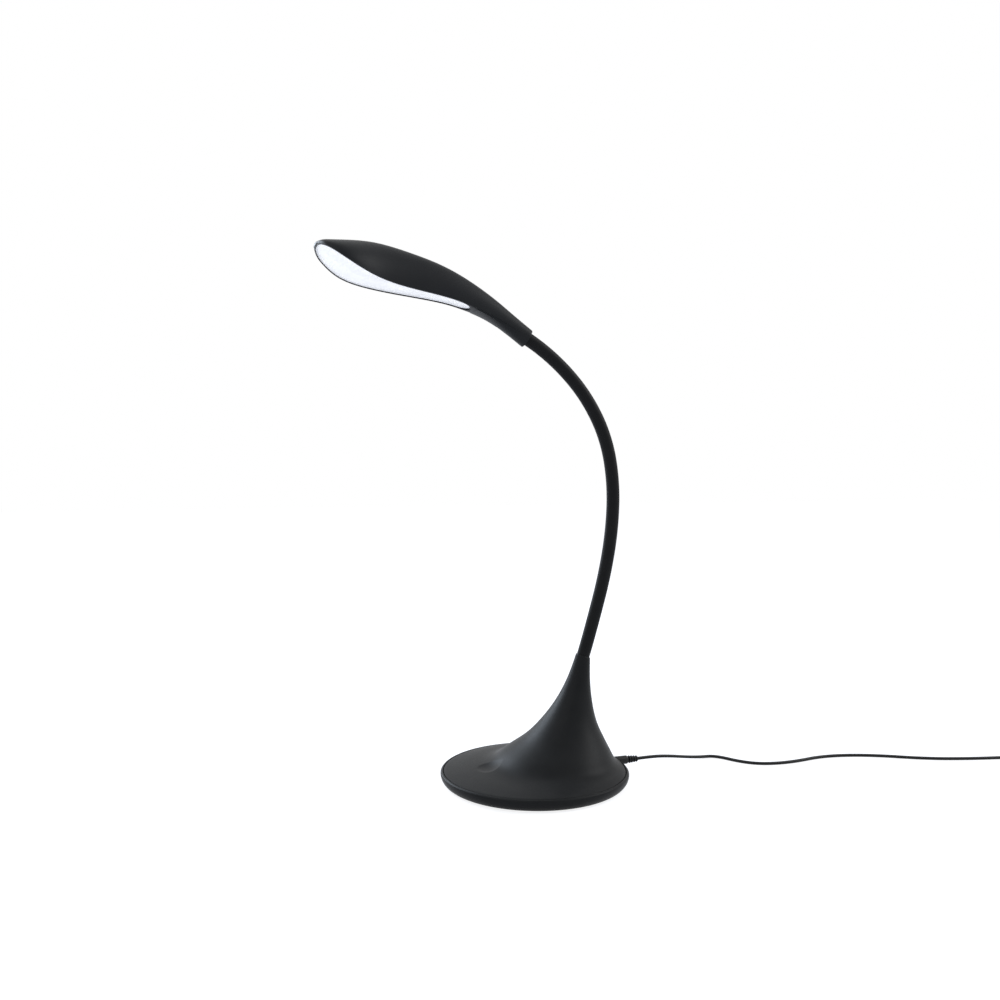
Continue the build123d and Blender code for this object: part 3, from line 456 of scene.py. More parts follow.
def make_piece(name, points, faces, finish, sharp=40):
    """Object from points in millimetres: doubles merged, faces outwards, smooth up to an angle."""
    work = bmesh.new()
    corners = [work.verts.new(Vector(point) * MM) for point in points]
    for face in faces:
        if len(set(face)) > 2:
            work.faces.new([corners[i] for i in face])
    bmesh.ops.remove_doubles(work, verts=work.verts, dist=WELD * MM)
    bmesh.ops.recalc_face_normals(work, faces=work.faces)
    mesh = bpy.data.meshes.new(name)
    work.to_mesh(mesh)
    work.free()
    piece = bpy.data.objects.new(name, mesh)
    bpy.context.scene.collection.objects.link(piece)
    mesh.materials.append(finish_of(finish))
    smooth(mesh, sharp)
    return piece


def smooth(mesh, sharp):
    """Smooth shading with edges kept sharp past an angle in degrees."""
    mesh.polygons.foreach_set("use_smooth", [True] * len(mesh.polygons))
    mesh.set_sharp_from_angle(angle=radians(sharp))


def bake_modifiers(piece):
    """Put the evaluated mesh in place of the piece's own and drop its modifiers."""
    graph = bpy.context.evaluated_depsgraph_get()
    mesh = bpy.data.meshes.new_from_object(piece.evaluated_get(graph))
    piece.modifiers.clear()
    piece.data = mesh
    mesh.name = piece.name
    return piece


def lathe(name, profile, finish, start, direction, sides=64, sharp=40):
    """Turned piece: (distance along, radius) pairs round an axis."""
    axis = Vector(direction).normalized()
    side = axis.orthogonal().normalized()
    other = axis.cross(side)
    points = [Vector(start) + axis * along + (side * cos(turn) + other * sin(turn)) * radius
              for along, radius in profile for turn in [2 * pi * i / sides for i in range(sides)]]
    return make_piece(name, points, grid(len(profile), sides), finish, sharp)


def rounded(corners, radius, arc=4):
    """Open profile with each inner corner rounded by a radius."""
    result = [corners[0]]
    for before, corner, after in zip(corners, corners[1:], corners[2:]):
        a, b, c = (Vector(p) for p in (before, corner, after))
        reach = min(radius, (a - b).length * 0.45, (c - b).length * 0.45)
        first, last = b + (a - b).normalized() * reach, b + (c - b).normalized() * reach
        for i in range(arc + 1):
            t = i / arc
            result.append(tuple(first * (1 - t) ** 2 + b * 2 * t * (1 - t) + last * t**2))
    return result + [corners[-1]]


def settle(piece, body, slot, *nodes):
    """Ride on a body and stand for solids; the slot is not used."""
    if nodes:
        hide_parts(*nodes)
    if body:
        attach(piece, body)
    return piece


# ---------------------------------------------------------------- base
def horn_ring(height, centre_x, radius, lean, angles):
    """Ring of the cover at a height, leaning back by an angle in degrees."""
    across = Vector((cos(radians(lean)), 0, -sin(radians(lean))))
    middle = Vector((centre_x, 0, height))
    return [middle + (across * cos(a) + Vector((0, 1, 0)) * sin(a)) * radius for a in angles]


def dish_level(mm, point):
    """Level of the cover's skin with the touch dimple, its rim softly rounded."""
    width, depth = mm["dimple_width"], mm["dimple_depth"]
    dish_radius = (width**2 + depth**2) / (2 * depth)
    lift = dish_radius - depth
    along = point.x + mm["dimple_reach"] + lift * sin(radians(DIMPLE_TILT))
    across = point.y * width / mm["dimple_length"]
    inside = dish_radius**2 - along**2 - across**2
    if inside <= 0:
        return point.z
    dish = mm["dimple_height"] + lift * cos(radians(DIMPLE_TILT)) - sqrt(inside)
    return (point.z + dish - sqrt((point.z - dish) ** 2 + DIMPLE_SOFTNESS**2)) / 2


def tub_profile(mm):
    """(height, radius) pairs of the tub: underside, bulging flank, shoulder, rim and inside."""
    crease_radius = mm["base_radius"] - mm["crease_inset"]
    profile = [(TUB_UNDERSIDE, 0.0)]
    profile += [(TUB_UNDERSIDE, radius) for radius in steps(2, mm["foot_radius"] - 1.2, 8)]
    for low, high, edge in ((TUB_UNDERSIDE, mm["base_widest"], mm["foot_radius"]),
                            (CREASE_HEIGHT, mm["base_widest"], crease_radius)):
        inset, rise = mm["base_radius"] - edge, abs(high - low)
        bulge = (inset**2 + rise**2) / (2 * inset)
        reach = atan2(rise, bulge - inset)
        turns = [reach * i / 14 for i in range(15)]
        arc = [(high + (low - high) / rise * bulge * sin(t), mm["base_radius"] - bulge * (1 - cos(t)))
               for t in turns]
        profile += arc[::-1] if low < high else arc[1:]
    seat = crease_radius - TUB_RIM_INSET
    inside = seat - TUB_WALL
    return profile + [(SEAT_HEIGHT, seat), (SEAT_HEIGHT, inside), (TUB_FLOOR, inside), (TUB_FLOOR, 0.0)]


def make_cover(mm):
    """Cover: disc edge, horn with its mouth and bore, and the touch dimple in the front."""
    cover_radius = mm["base_radius"] - mm["crease_inset"] - COVER_EDGE_GAP
    stations = [(CREASE_HEIGHT + height * mm["horn_height"],
                 HORN_MOUTH_RADIUS + radius * (cover_radius - HORN_MOUTH_RADIUS),
                 setback * HORN_SETBACK, lean * HORN_LEAN) for height, radius, setback, lean in HORN_STATIONS]
    at, length = course(stations)

    def from_dimple(t):
        """How far the front of the ring at a length is from the dimple's centre."""
        row = at(t)
        return abs(row[2] - row[1] + mm["dimple_reach"])

    near = [t for t in steps(0, length, 0.2) if from_dimple(t) < mm["dimple_width"] + 1.5]
    lengths = steps(0.6, near[0], COVER_RING_PITCH)[:-1] + steps(near[0], near[-1], DIMPLE_RING_PITCH)
    lengths += steps(near[-1], length - 0.3, COVER_RING_PITCH)[1:]
    fan = radians(DIMPLE_FAN)
    angles = steps(pi - fan, pi + fan, radians(0.5)) + steps(pi + fan, 3 * pi - fan, radians(2.2))[1:-1]
    edge = [(SEAT_HEIGHT, cover_radius), (CREASE_HEIGHT - 0.5, cover_radius),
            (CREASE_HEIGHT - 0.17, cover_radius - 0.1)]
    rings = [horn_ring(height, 0, radius, 0, angles) for height, radius in edge]
    for t in lengths:
        height, radius, setback, lean = at(t)
        ring = horn_ring(height, setback, radius, lean, angles)
        if from_dimple(t) < 2 * mm["dimple_width"]:
            ring = [Vector((p.x, p.y, dish_level(mm, p))) for p in ring]
        rings.append(ring)
    top, mouth_radius, mouth_x, mouth_lean = stations[-1]
    bore = CORE_BORE - SEAT_GAP
    down = Vector((sin(radians(mouth_lean)), 0, cos(radians(mouth_lean)))) * -HORN_SOCKET
    rings.append(horn_ring(top, mouth_x, mouth_radius - 0.25, mouth_lean, angles))
    rings.append(horn_ring(top, mouth_x, bore, mouth_lean, angles))
    rings.append(horn_ring(top + down.z, mouth_x + down.x, bore, mouth_lean, angles))
    inner = [at(t) for t in steps(length, 0, 4.0)]
    inner = [row for row in inner if row[0] < top + down.z - COVER_WALL]
    rings += [horn_ring(height - COVER_WALL, setback, radius - COVER_WALL, lean, angles)
              for height, radius, setback, lean in inner[:-1]]
    rings.append(horn_ring(SEAT_HEIGHT, 0, cover_radius - COVER_WALL, 0, angles))
    points = [p for ring in rings for p in ring]
    return make_piece("cover_skin", points, grid(len(rings), len(angles), loop=True), "base_skin")


def drill_jack(piece):
    """Cut the round opening for the plug through a piece of the base."""
    start, length = JACK_DRILL
    profile = [(0, 0), (0, JACK_OPENING_RADIUS), (length, JACK_OPENING_RADIUS), (length, 0)]
    cutter = lathe("jack_drill", profile, "base_skin", (start, 0, JACK_AXIS_HEIGHT), (1, 0, 0), sides=48)
    cut = piece.modifiers.new("jack opening", "BOOLEAN")
    cut.operation = "DIFFERENCE"
    cut.solver = "EXACT"
    cut.object = cutter
    bake_modifiers(piece)
    bpy.data.objects.remove(cutter)
    smooth(piece.data, 40)
    return piece


class LAMP_OT_base(bpy.types.Operator):
    """Build the base: the bulging tub and the cover with its horn and touch dimple"""
    bl_idname = "lamp.base"
    bl_label = "Base"

    def execute(self, context):
        mm = sizes(context)
        settle(drill_jack(make_cover(mm)), "base", "housing_black", "base_cover")
        tub = lathe("tub_skin", tub_profile(mm), "base_skin", (0, 0, 0), (0, 0, 1), sides=200)
        settle(drill_jack(tub), "base", "housing_black", "base_tub")
        return {"FINISHED"}


# ---------------------------------------------------------------- neck
def neck_line():
    """Start point, start angle and turn of each neck length, in millimetres and degrees."""
    count = len(NECK_TURNS)
    lengths = [NECK_FIRST_LENGTH] + [NECK_LINK_LENGTH] * (count - 2) + [NECK_LAST_LENGTH]
    place, angle, line = Vector((HORN_SETBACK, 0, CREASE_HEIGHT + HORN_HEIGHT)), NECK_START_ANGLE, []
    for length, turn in zip(lengths, NECK_TURNS):
        line.append((place, angle, turn, length))
        place, angle = arc_point(line[-1], 1.0), angle + turn
    return line, place, angle


def arc_point(link, share):
    """Point on a neck length at a share of it."""
    place, angle, turn, length = link
    bend, end = length / radians(turn), radians(angle + turn * share)
    start = radians(angle)
    return place + Vector((sin(end) - sin(start), 0, cos(start) - cos(end))) * bend


def open_tree(name, **inputs):
    """Geometry Nodes tree with named inputs after its geometry, and the sockets that they give."""
    tree = bpy.data.node_groups.new(name, "GeometryNodeTree")
    for label, kind in {"Geometry": "Geometry", **inputs, "Finish": "Material"}.items():
        tree.interface.new_socket(label, in_out="INPUT", socket_type="NodeSocket" + kind)
    tree.interface.new_socket("Geometry", in_out="OUTPUT", socket_type="NodeSocketGeometry")
    return tree, add(tree, "NodeGroupInput").outputs


def close_tree(tree, geometry, finish):
    """Realize what a tree has made, give it its finish and hand it out."""
    real = add(tree, "GeometryNodeRealizeInstances", {"Geometry": geometry})
    dressed = add(tree, "GeometryNodeSetMaterial", {"Geometry": real.outputs["Geometry"], "Material": finish})
    add(tree, "NodeGroupOutput", {"Geometry": dressed.outputs["Geometry"]})
    return tree


def sleeve_tree():
    """Geometry Nodes tree that lays a round skin over a line."""
    tree, given = open_tree("Sleeve over a line", Radius="Float", Sides="Int")
    line = add(tree, "GeometryNodeMeshToCurve", {"Mesh": given["Geometry"]})
    section = add(tree, "GeometryNodeCurvePrimitiveCircle", {"Resolution": given["Sides"],
                                                             "Radius": given["Radius"]})
    skin = add(tree, "GeometryNodeCurveToMesh", {"Curve": line.outputs["Curve"],
                                                 "Profile Curve": section.outputs["Curve"]})
    return close_tree(tree, skin.outputs["Mesh"], given["Finish"])


def run_tree(piece, tree, values):
    """Give a piece the tree with inputs by name, and keep its result as a plain mesh."""
    modifier = piece.modifiers.new(tree.name, "NODES")
    modifier.node_group = tree
    names = {item.name: item.identifier for item in tree.interface.items_tree if item.in_out == "INPUT"}
    for name, value in values.items():
        modifier[names[name]] = value
    return bake_modifiers(piece)


def line_piece(name, points):
    """Mesh object of one line of points in millimetres."""
    mesh = bpy.data.meshes.new(name)
    mesh.from_pydata([Vector(p) * MM for p in points], [(i, i + 1) for i in range(len(points) - 1)], [])
    piece = bpy.data.objects.new(name, mesh)
    bpy.context.scene.collection.objects.link(piece)
    return piece


class LAMP_OT_neck(bpy.types.Operator):
    """Build the smooth sleeve of the neck, one curved piece over each joint"""
    bl_idname = "lamp.neck"
    bl_label = "Neck"

    def execute(self, context):
        mm = sizes(context)
        tree = sleeve_tree()
        links, collar, collar_angle = neck_line()
        last = len(links) - 1
        for joint in range(1, last + 1):
            before, after = links[joint - 1], links[joint]
            shares = steps(0.0 if joint == 1 else 0.5, 1.0, SLEEVE_PITCH / before[3])
            points = [arc_point(before, share) for share in shares]
            shares = steps(0.0, 1.0 if joint == last else 0.5, SLEEVE_PITCH / after[3])
            points += [arc_point(after, share) for share in shares[1:]]
            if joint == last:
                axis = Vector((cos(radians(collar_angle)), 0, sin(radians(collar_angle))))
                points += [collar + axis * COLLAR_SLEEVE_DEPTH * i / 3 for i in range(1, 4)]
            piece = line_piece(f"neck_skin_{joint}", points)
            run_tree(piece, tree, {"Radius": mm["sleeve_radius"] * MM, "Sides": SLEEVE_SIDES,
                                   "Finish": finish_of("sleeve")})
            wall = piece.modifiers.new("wall", "SOLIDIFY")
            wall.thickness = mm["sleeve_wall"] * MM
            wall.offset = -1
            bake_modifiers(piece)
            smooth(piece.data, 50)
            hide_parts(f"neck_sleeve_{joint - 1}", f"neck_sleeve_{joint}")
            tangent = Vector((cos(radians(after[1])), 0, sin(radians(after[1]))))
            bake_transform(piece)
        return {"FINISHED"}


# ---------------------------------------------------------------- lamp head
class Hood:
    """Sections of the hood by their distance from the collar, in millimetres."""

    def __init__(self, mm):
        rows = [(0, 0, COLLAR_RADIUS, COLLAR_RADIUS, COLLAR_RADIUS, COLLAR_TILT)]
        rows += [(length * mm["hood_length"], rise * mm["hood_rise"], width * mm["hood_half_width"],
                  depth * mm["hood_depth"], belly, tilt * COLLAR_TILT)
                 for length, rise, width, depth, belly, tilt in reversed(HOOD_STATIONS)]
        at, length = course(rows)
        self.table = np.array([at(t) for t in np.linspace(0, length, 1500)])
        self.collar = neck_line()[1]
        self.tip = mm["hood_length"]
        self.front = self.tip - OPENING_TIP_LIP

    def row(self, x):
        """Rise, half width, depth, belly and lean at a distance from the collar."""
        return [float(np.interp(x, self.table[:, 0], self.table[:, k])) for k in range(1, 6)]

    def opening(self, x, inset):
        """Half width of the light opening, moved in by an inset; zero outside it."""
        rear_middle = OPENING_REAR + OPENING_REAR_LENGTH
        front_middle = self.front - OPENING_FRONT_LENGTH
        limits = [self.row(x)[1] - HOOD_WALL - inset]
        if x < rear_middle:
            share = (rear_middle - x) / (OPENING_REAR_LENGTH - inset)
            limits.append((OPENING_REAR_HALF_WIDTH - inset) * sqrt(max(0.0, 1 - share**2)))
        if x > front_middle:
            share = (x - front_middle) / (OPENING_FRONT_LENGTH - inset)
            widest = self.row(front_middle)[1] - HOOD_WALL - inset
            limits.append(widest * max(0.0, 1 - share**OPENING_TIP_POWER) ** (1 / OPENING_TIP_POWER))
        low = min(limits)
        if low <= 0:
            return 0.0
        spread = sum(np.exp((low - value) / OPENING_SOFTNESS) for value in limits)
        return max(0.0, low - OPENING_SOFTNESS * float(np.log(spread)))

    def stops(self, inset):
        """Distances from the collar with close steps at both ends of the opening."""
        rear, front = OPENING_REAR + inset, self.front - inset
        quarter = [radians(90) * i / 18 for i in range(19)]
        rear_zone = [rear + (OPENING_REAR_LENGTH - inset) * (1 - cos(t)) for t in quarter]
        front_zone = [front - (OPENING_FRONT_LENGTH - inset) * (1 - sin(t)) for t in quarter]
        return rear_zone + steps(rear_zone[-1], front_zone[0], 2.0)[1:-1] + front_zone

    def point(self, x, y, up, lean):
        """Point of a leaning section: y across and up square to the rim."""
        rise, turn = self.row(x)[0], radians(lean)
        return Vector((self.collar.x - x + up * sin(turn), y, self.collar.z + rise + up * cos(turn)))


def hood_rings(hood, x, crown_steps=56, belly_steps=10, wall_steps=4):
    """Outer and inner points of the hood's section; the inner ones run from one opening edge to the other."""
    _, width, depth, belly, lean = hood.row(x)
    edge = hood.opening(x, 0)

    def under(y):
        return -belly * sqrt(max(0.0, 1 - (y / width) ** 2))

    last = OPENING_REAR + CREASE_OVERLAP
    ledge = CREASE_LEDGE * clamp((x - CREASE_START) / CREASE_GROWTH) * clamp((last - x) / CREASE_FADE)
    belly_width = width - ledge
    side = [edge + (belly_width - edge) * sin(pi / 2 * i / belly_steps) for i in range(belly_steps + 1)]
    outer = [(y, under(y * width / belly_width)) for y in side]
    outer += [(width * cos(pi * i / crown_steps), depth * sin(pi * i / crown_steps))
              for i in range(crown_steps + 1)]
    outer += [(-y, under(y * width / belly_width)) for y in reversed(side)]
    room_width, room_depth = max(width - HOOD_WALL, 0.1), max(depth - HOOD_WALL, 0.1)
    first = acos(min(1.0, edge / room_width))
    turns = [first + (pi - 2 * first) * i / crown_steps for i in range(crown_steps + 1)]
    inner = [(room_width * cos(t), room_depth * sin(t)) for t in turns]
    low, high = under(edge), inner[0][1]
    wall = [(edge, low + (high - low) * i / wall_steps) for i in range(wall_steps)]
    inner = wall + inner + [(-y, up) for y, up in reversed(wall)]
    outer, inner = ([hood.point(x, y, up, lean) for y, up in ring] for ring in (outer, inner))
    return outer, inner, edge


def shell_faces(rows, columns, open_rows=None):
    """Quads between open rows of points, only where one of both rows is open."""
    faces = []
    for r in range(rows - 1):
        if open_rows is None or open_rows[r] or open_rows[r + 1]:
            for c in range(columns - 1):
                a, b = r * columns + c, (r + 1) * columns + c
                faces.append((a, a + 1, b + 1, b))
    return faces


def make_hood(mm, hood):
    """Hood: petal-shaped crown, thin rim, hollow room and the shank up to its collar."""
    stops = steps(0, OPENING_REAR, 1.5)[:-1] + hood.stops(0) + steps(hood.front, hood.tip, 0.4)[1:]
    outer, inner, edges = zip(*[hood_rings(hood, x) for x in stops])
    lean = radians(COLLAR_TILT)
    back = Vector((cos(lean), 0, -sin(lean)))
    first = outer[0]

    def collar_ring(radius, depth):
        return [hood.collar + (p - hood.collar).normalized() * radius - back * depth for p in first]

    recess = mm["sleeve_radius"] + SLEEVE_FIT
    lips = [(recess, COLLAR_SLEEVE_DEPTH), (recess, 0.0), (COLLAR_RADIUS - COLLAR_ROUND, 0.0),
            (COLLAR_RADIUS - 0.13, 0.13), (COLLAR_RADIUS, COLLAR_ROUND)]
    rows = [collar_ring(radius, depth) for radius, depth in lips] + list(outer[1:])
    width = len(first)
    points = [p for row in rows for p in row]
    faces = shell_faces(len(rows), width)
    faces.append(tuple(range(width - 1)))
    faces.append(tuple(range((len(rows) - 1) * width, len(rows) * width - 1)))
    start, inner_width = len(points), len(inner[0])
    points += [p for row in inner for p in row]
    open_rows = [edge > 0 for edge in edges]
    faces += [tuple(i + start for i in face) for face in shell_faces(len(inner), inner_width, open_rows)]
    return make_piece("hood_skin", points, faces, "hood_skin", sharp=35)


def make_slab(name, hood, inset, levels, finish, hollow=None):
    """Plate or tray in the light opening: follows the rim line between two levels above it.

    hollow is (inset, level) of a room cut up into it from below, for the frame.
    """
    low, high = levels
    stops = hood.stops(inset)
    if hollow:
        stops = sorted(stops + hood.stops(hollow[0]))
    outside, inside, open_rows = [], [], []
    for x in stops:
        depth = hood.row(x)[2] - HOOD_WALL - inset
        top = min(high, 0.9 * depth)
        across = hood.opening(x, inset)
        hole = hood.opening(x, hollow[0]) if hollow else 0.0

        def spot(y, up):
            narrowed = y * sqrt(max(0.05, 1 - (up / depth) ** 2))
            return hood.point(x, narrowed, 0, 0) + Vector((0, 0, up))

        wall = [low + (top - low) * i / 3 for i in range(4)]
        bottom = [hole + (across - hole) * i / 6 for i in range(6)]
        roof = [across * (1 - i / 12) for i in range(1, 24)]
        outside.append([spot(y, low) for y in bottom] + [spot(across, up) for up in wall]
                       + [spot(y, top) for y in roof] + [spot(-across, up) for up in reversed(wall)]
                       + [spot(-y, low) for y in reversed(bottom)])
        if hollow:
            ceiling = min(hollow[1], top - 1.0)
            up = [low + (ceiling - low) * i / 3 for i in range(4)]
            under = [hole * (1 - i / 12) for i in range(1, 24)]
            inside.append([spot(hole, v) for v in up] + [spot(y, ceiling) for y in under]
                          + [spot(-hole, v) for v in reversed(up)])
            open_rows.append(hole > 0)
    width = len(outside[0])
    points = [p for row in outside for p in row]
    faces = shell_faces(len(outside), width)
    if inside:
        start = len(points)
        points += [p for row in inside for p in row]
        faces += [tuple(i + start for i in face)
                  for face in shell_faces(len(inside), len(inside[0]), open_rows)]
    return make_piece(name, points, faces, finish, sharp=45)


def make_shank_cover(hood):
    """Shallow cover under the shank, just below the skin, with a thin parting line round it."""
    rows = []
    for x in steps(*SHANK_COVER, 1.0):
        _, width, _, belly, lean = hood.row(x)
        shares = [SHANK_COVER_SHARE * (1 - i / 12) for i in range(25)]
        rows.append([hood.point(x, width * s, -belly * sqrt(1 - s**2) + level, lean)
                     for level, order in zip(SHANK_COVER_LEVELS, (1, -1)) for s in shares[::order]])
    width = len(rows[0])
    faces = grid(len(rows), width)
    faces += [tuple(range(width)), tuple(range((len(rows) - 1) * width, len(rows) * width))]
    return make_piece("shank_plate", [p for row in rows for p in row], faces, "hood_skin")


class LAMP_OT_head(bpy.types.Operator):
    """Build the lamp head's hood and the cover under its shank"""
    bl_idname = "lamp.head"
    bl_label = "Lamp head"

    def execute(self, context):
        mm = sizes(context)
        hood = Hood(mm)
        settle(make_hood(mm, hood), "head", "housing_black", "head_shell")
        settle(make_shank_cover(hood), "head", "housing_black", "shank_cover")
        return {"FINISHED"}


class LAMP_OT_light_panel(bpy.types.Operator):
    """Build the white frame and the opal diffuser in the light opening"""
    bl_idname = "lamp.light_panel"
    bl_label = "Light panel"

    def execute(self, context):
        hood = Hood(sizes(context))
        panel = make_slab("panel_frame", hood, FRAME_INSET, FRAME_LEVELS, "panel", hollow=FRAME_ROOM)
        settle(panel, "head", "frame_white", "light_frame")
        sheet = make_slab("opal_sheet", hood, SHEET_INSET, SHEET_LEVELS, "diffuser")
        settle(sheet, "head", "diffuser_opal", "diffuser")
        return {"FINISHED"}


# ---------------------------------------------------------------- lead, plug and adapter
def lead_points():
    """The lead's route: from the plug to the coil, its turns in three layers, and the tail."""
    points = [Vector(p) for p in CORD_ROUTE]
    count = round(COIL_TURNS * COIL_TURN_POINTS)
    layer = COIL_TURNS / 3
    centre_x, centre_y = COIL_CENTRE
    for i in range(count + 1):
        turned = i / COIL_TURN_POINTS
        number = min(int(turned / layer), 2)
        share = turned / layer - number
        inward = share if number % 2 == 0 else 1 - share
        radius = COIL_OUTER + (COIL_INNER - COIL_OUTER) * inward
        climb = clamp((share - COIL_CLIMB[0]) / COIL_CLIMB[1]) if number < 2 else 0.0
        level = COIL_FIRST_LEVEL + COIL_LAYER_RISE * (number + climb)
        if number == 2:
            leave = max(0.0, share - COIL_LEAVE[0]) / COIL_LEAVE[1]
            radius += (COIL_OUTER + COIL_LEAVE_SWING - radius) * leave
            level += COIL_LAYER_RISE * min(1.0, 2 * leave)
        angle = radians(COIL_START_ANGLE - 360 * turned)
        points.append(Vector((centre_x + radius * cos(angle), centre_y + radius * sin(angle), level)))
    return points + [Vector(p) for p in CORD_TAIL]


def route_curve(points):
    """Smooth line over given points, in millimetres."""
    curve = bpy.data.curves.new("lead_route", "CURVE")
    curve.dimensions = "3D"
    spline = curve.splines.new("NURBS")
    spline.points.add(len(points) - 1)
    for point, place in zip(spline.points, points):
        point.co = (*(place * MM), 1.0)
    spline.order_u = 3
    spline.use_endpoint_u = True
    spline.resolution_u = 10
    route = bpy.data.objects.new("lead_route", curve)
    bpy.context.scene.collection.objects.link(route)
    mesh = bpy.data.meshes.new_from_object(route)
    line = [vertex.co.copy() for vertex in mesh.vertices]
    bpy.data.objects.remove(route)
    bpy.data.meshes.remove(mesh)
    return line


def twin_section(width, height, sides=20):
    """Figure of eight of a flat twin lead: (across, up) pairs."""
    radius = height / 2
    offset = width / 2 - radius
    shape = []
    for i in range(sides):
        turn = 2 * pi * (i + 0.5) / sides
        waist = LEAD_WAIST * (1 - min(1.0, abs(cos(turn)) / 0.5)) * radius
        core = offset if cos(turn) > 0 else -offset
        shape.append((cos(turn) * radius + core, sin(turn) * (radius - waist)))
    return shape


def make_lead(mm):
    """Flat twin lead along its whole route."""
    line = route_curve(lead_points())
    section = twin_section(mm["cord_width"] * MM, mm["cord_height"] * MM)
    points = []
    for i, place in enumerate(line):
        along = (line[min(i + 1, len(line) - 1)] - line[max(i - 1, 0)]).normalized()
        across = along.cross(Vector((0, 0, 1))).normalized()
        up = across.cross(along)
        points += [(place + across * a + up * b) / MM for a, b in section]
    sides = len(section)
    faces = grid(len(line), sides)
    faces += [tuple(range(sides)), tuple(range(len(points) - sides, len(points)))]
    return make_piece("lead", points, faces, "lead", sharp=60), line


def rib_tree():
    """Geometry Nodes tree of round ribs in a row that get smaller."""
    tree, given = open_tree("Ribs in a row", Count="Int", Start="Vector", Pitch="Vector", Turn="Vector",
                            Radius="Float", Shrink="Float", Thickness="Float")
    row = add(tree, "GeometryNodeMeshLine", {"Count": given["Count"], "Start Location": given["Start"],
                                             "Offset": given["Pitch"]})
    path = add(tree, "GeometryNodeCurvePrimitiveCircle", {"Resolution": 48, "Radius": given["Radius"]})
    bead = add(tree, "GeometryNodeCurvePrimitiveCircle", {"Resolution": 12, "Radius": given["Thickness"]})
    rib = add(tree, "GeometryNodeCurveToMesh", {"Curve": path.outputs["Curve"],
                                                "Profile Curve": bead.outputs["Curve"]})
    number = add(tree, "GeometryNodeInputIndex")
    less = add(tree, "ShaderNodeMath", {0: number.outputs["Index"], 1: given["Shrink"]}, operation="MULTIPLY")
    scale = add(tree, "ShaderNodeMath", {0: 1.0, 1: less.outputs["Value"]}, operation="SUBTRACT")
    ribs = add(tree, "GeometryNodeInstanceOnPoints", {
        "Points": row.outputs["Mesh"], "Instance": rib.outputs["Mesh"], "Rotation": given["Turn"],
        "Scale": scale.outputs["Value"]})
    return close_tree(tree, ribs.outputs["Instances"], given["Finish"])


def make_ribs(name, count, start, pitch, turn, radius, shrink, thickness):
    """Row of ribs on a strain relief, sizes in millimetres."""
    tree = bpy.data.node_groups.get("Ribs in a row") or rib_tree()
    piece = line_piece(name, [start, start])
    run_tree(piece, tree, {"Count": count, "Start": Vector(start) * MM, "Pitch": Vector(pitch) * MM,
                           "Turn": turn, "Radius": radius * MM, "Shrink": shrink,
                           "Thickness": thickness * MM, "Finish": finish_of("plug")})
    smooth(piece.data, 60)
    return piece


class LAMP_OT_lead(bpy.types.Operator):
    """Build the flat twin lead from the plug through its coil to the adapter"""
    bl_idname = "lamp.lead"
    bl_label = "Lead"

    def execute(self, context):
        mm = sizes(context)
        lead, line = make_lead(mm)
        settle(lead, "base", "cord_black", "cord_tube", "cord_coil", "cord_tail")
        pieces = make_adapter() + [make_ties()]
        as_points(line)
        return {"FINISHED"}


def make_ties():
    """Two loop-tape ties round the coil, flat bands that follow the bundle."""
    middle = (COIL_OUTER + COIL_INNER) / 2
    wide = (COIL_OUTER - COIL_INNER) / 2 + TIE_ROOM - TIE_CORNER
    low, high = TIE_LEVELS[0] + TIE_CORNER, TIE_LEVELS[1] - TIE_CORNER
    path = []
    corners = ((wide, high, 0), (-wide, high, 90), (-wide, low, 180), (wide, low, 270))
    for corner_x, corner_z, first in corners:
        for i in range(6):
            turn = radians(first + 90 * i / 5)
            path.append((corner_x, corner_z, cos(turn), sin(turn)))
    points, faces = [], []
    for angle in TIE_ANGLES:
        outward = Vector((cos(radians(angle)), sin(radians(angle)), 0))
        along = Vector((-outward.y, outward.x, 0))
        centre = Vector((*COIL_CENTRE, 0)) + outward * middle
        start = len(points)
        for reach, side in ((TIE_WALL[0], -1), (TIE_WALL[1], -1), (TIE_WALL[1], 1), (TIE_WALL[0], 1)):
            points += [centre + outward * (x + reach * c) + Vector((0, 0, max(z + reach * s, 0.02)))
                       + along * side * TIE_HALF_WIDTH for x, z, c, s in path]
        faces += [tuple(i + start for i in face) for face in grid(4, len(path), loop=True)]
    return settle(make_piece("coil_ties", points, faces, "tie", sharp=50), "base", "cord_black", "cord_ties")


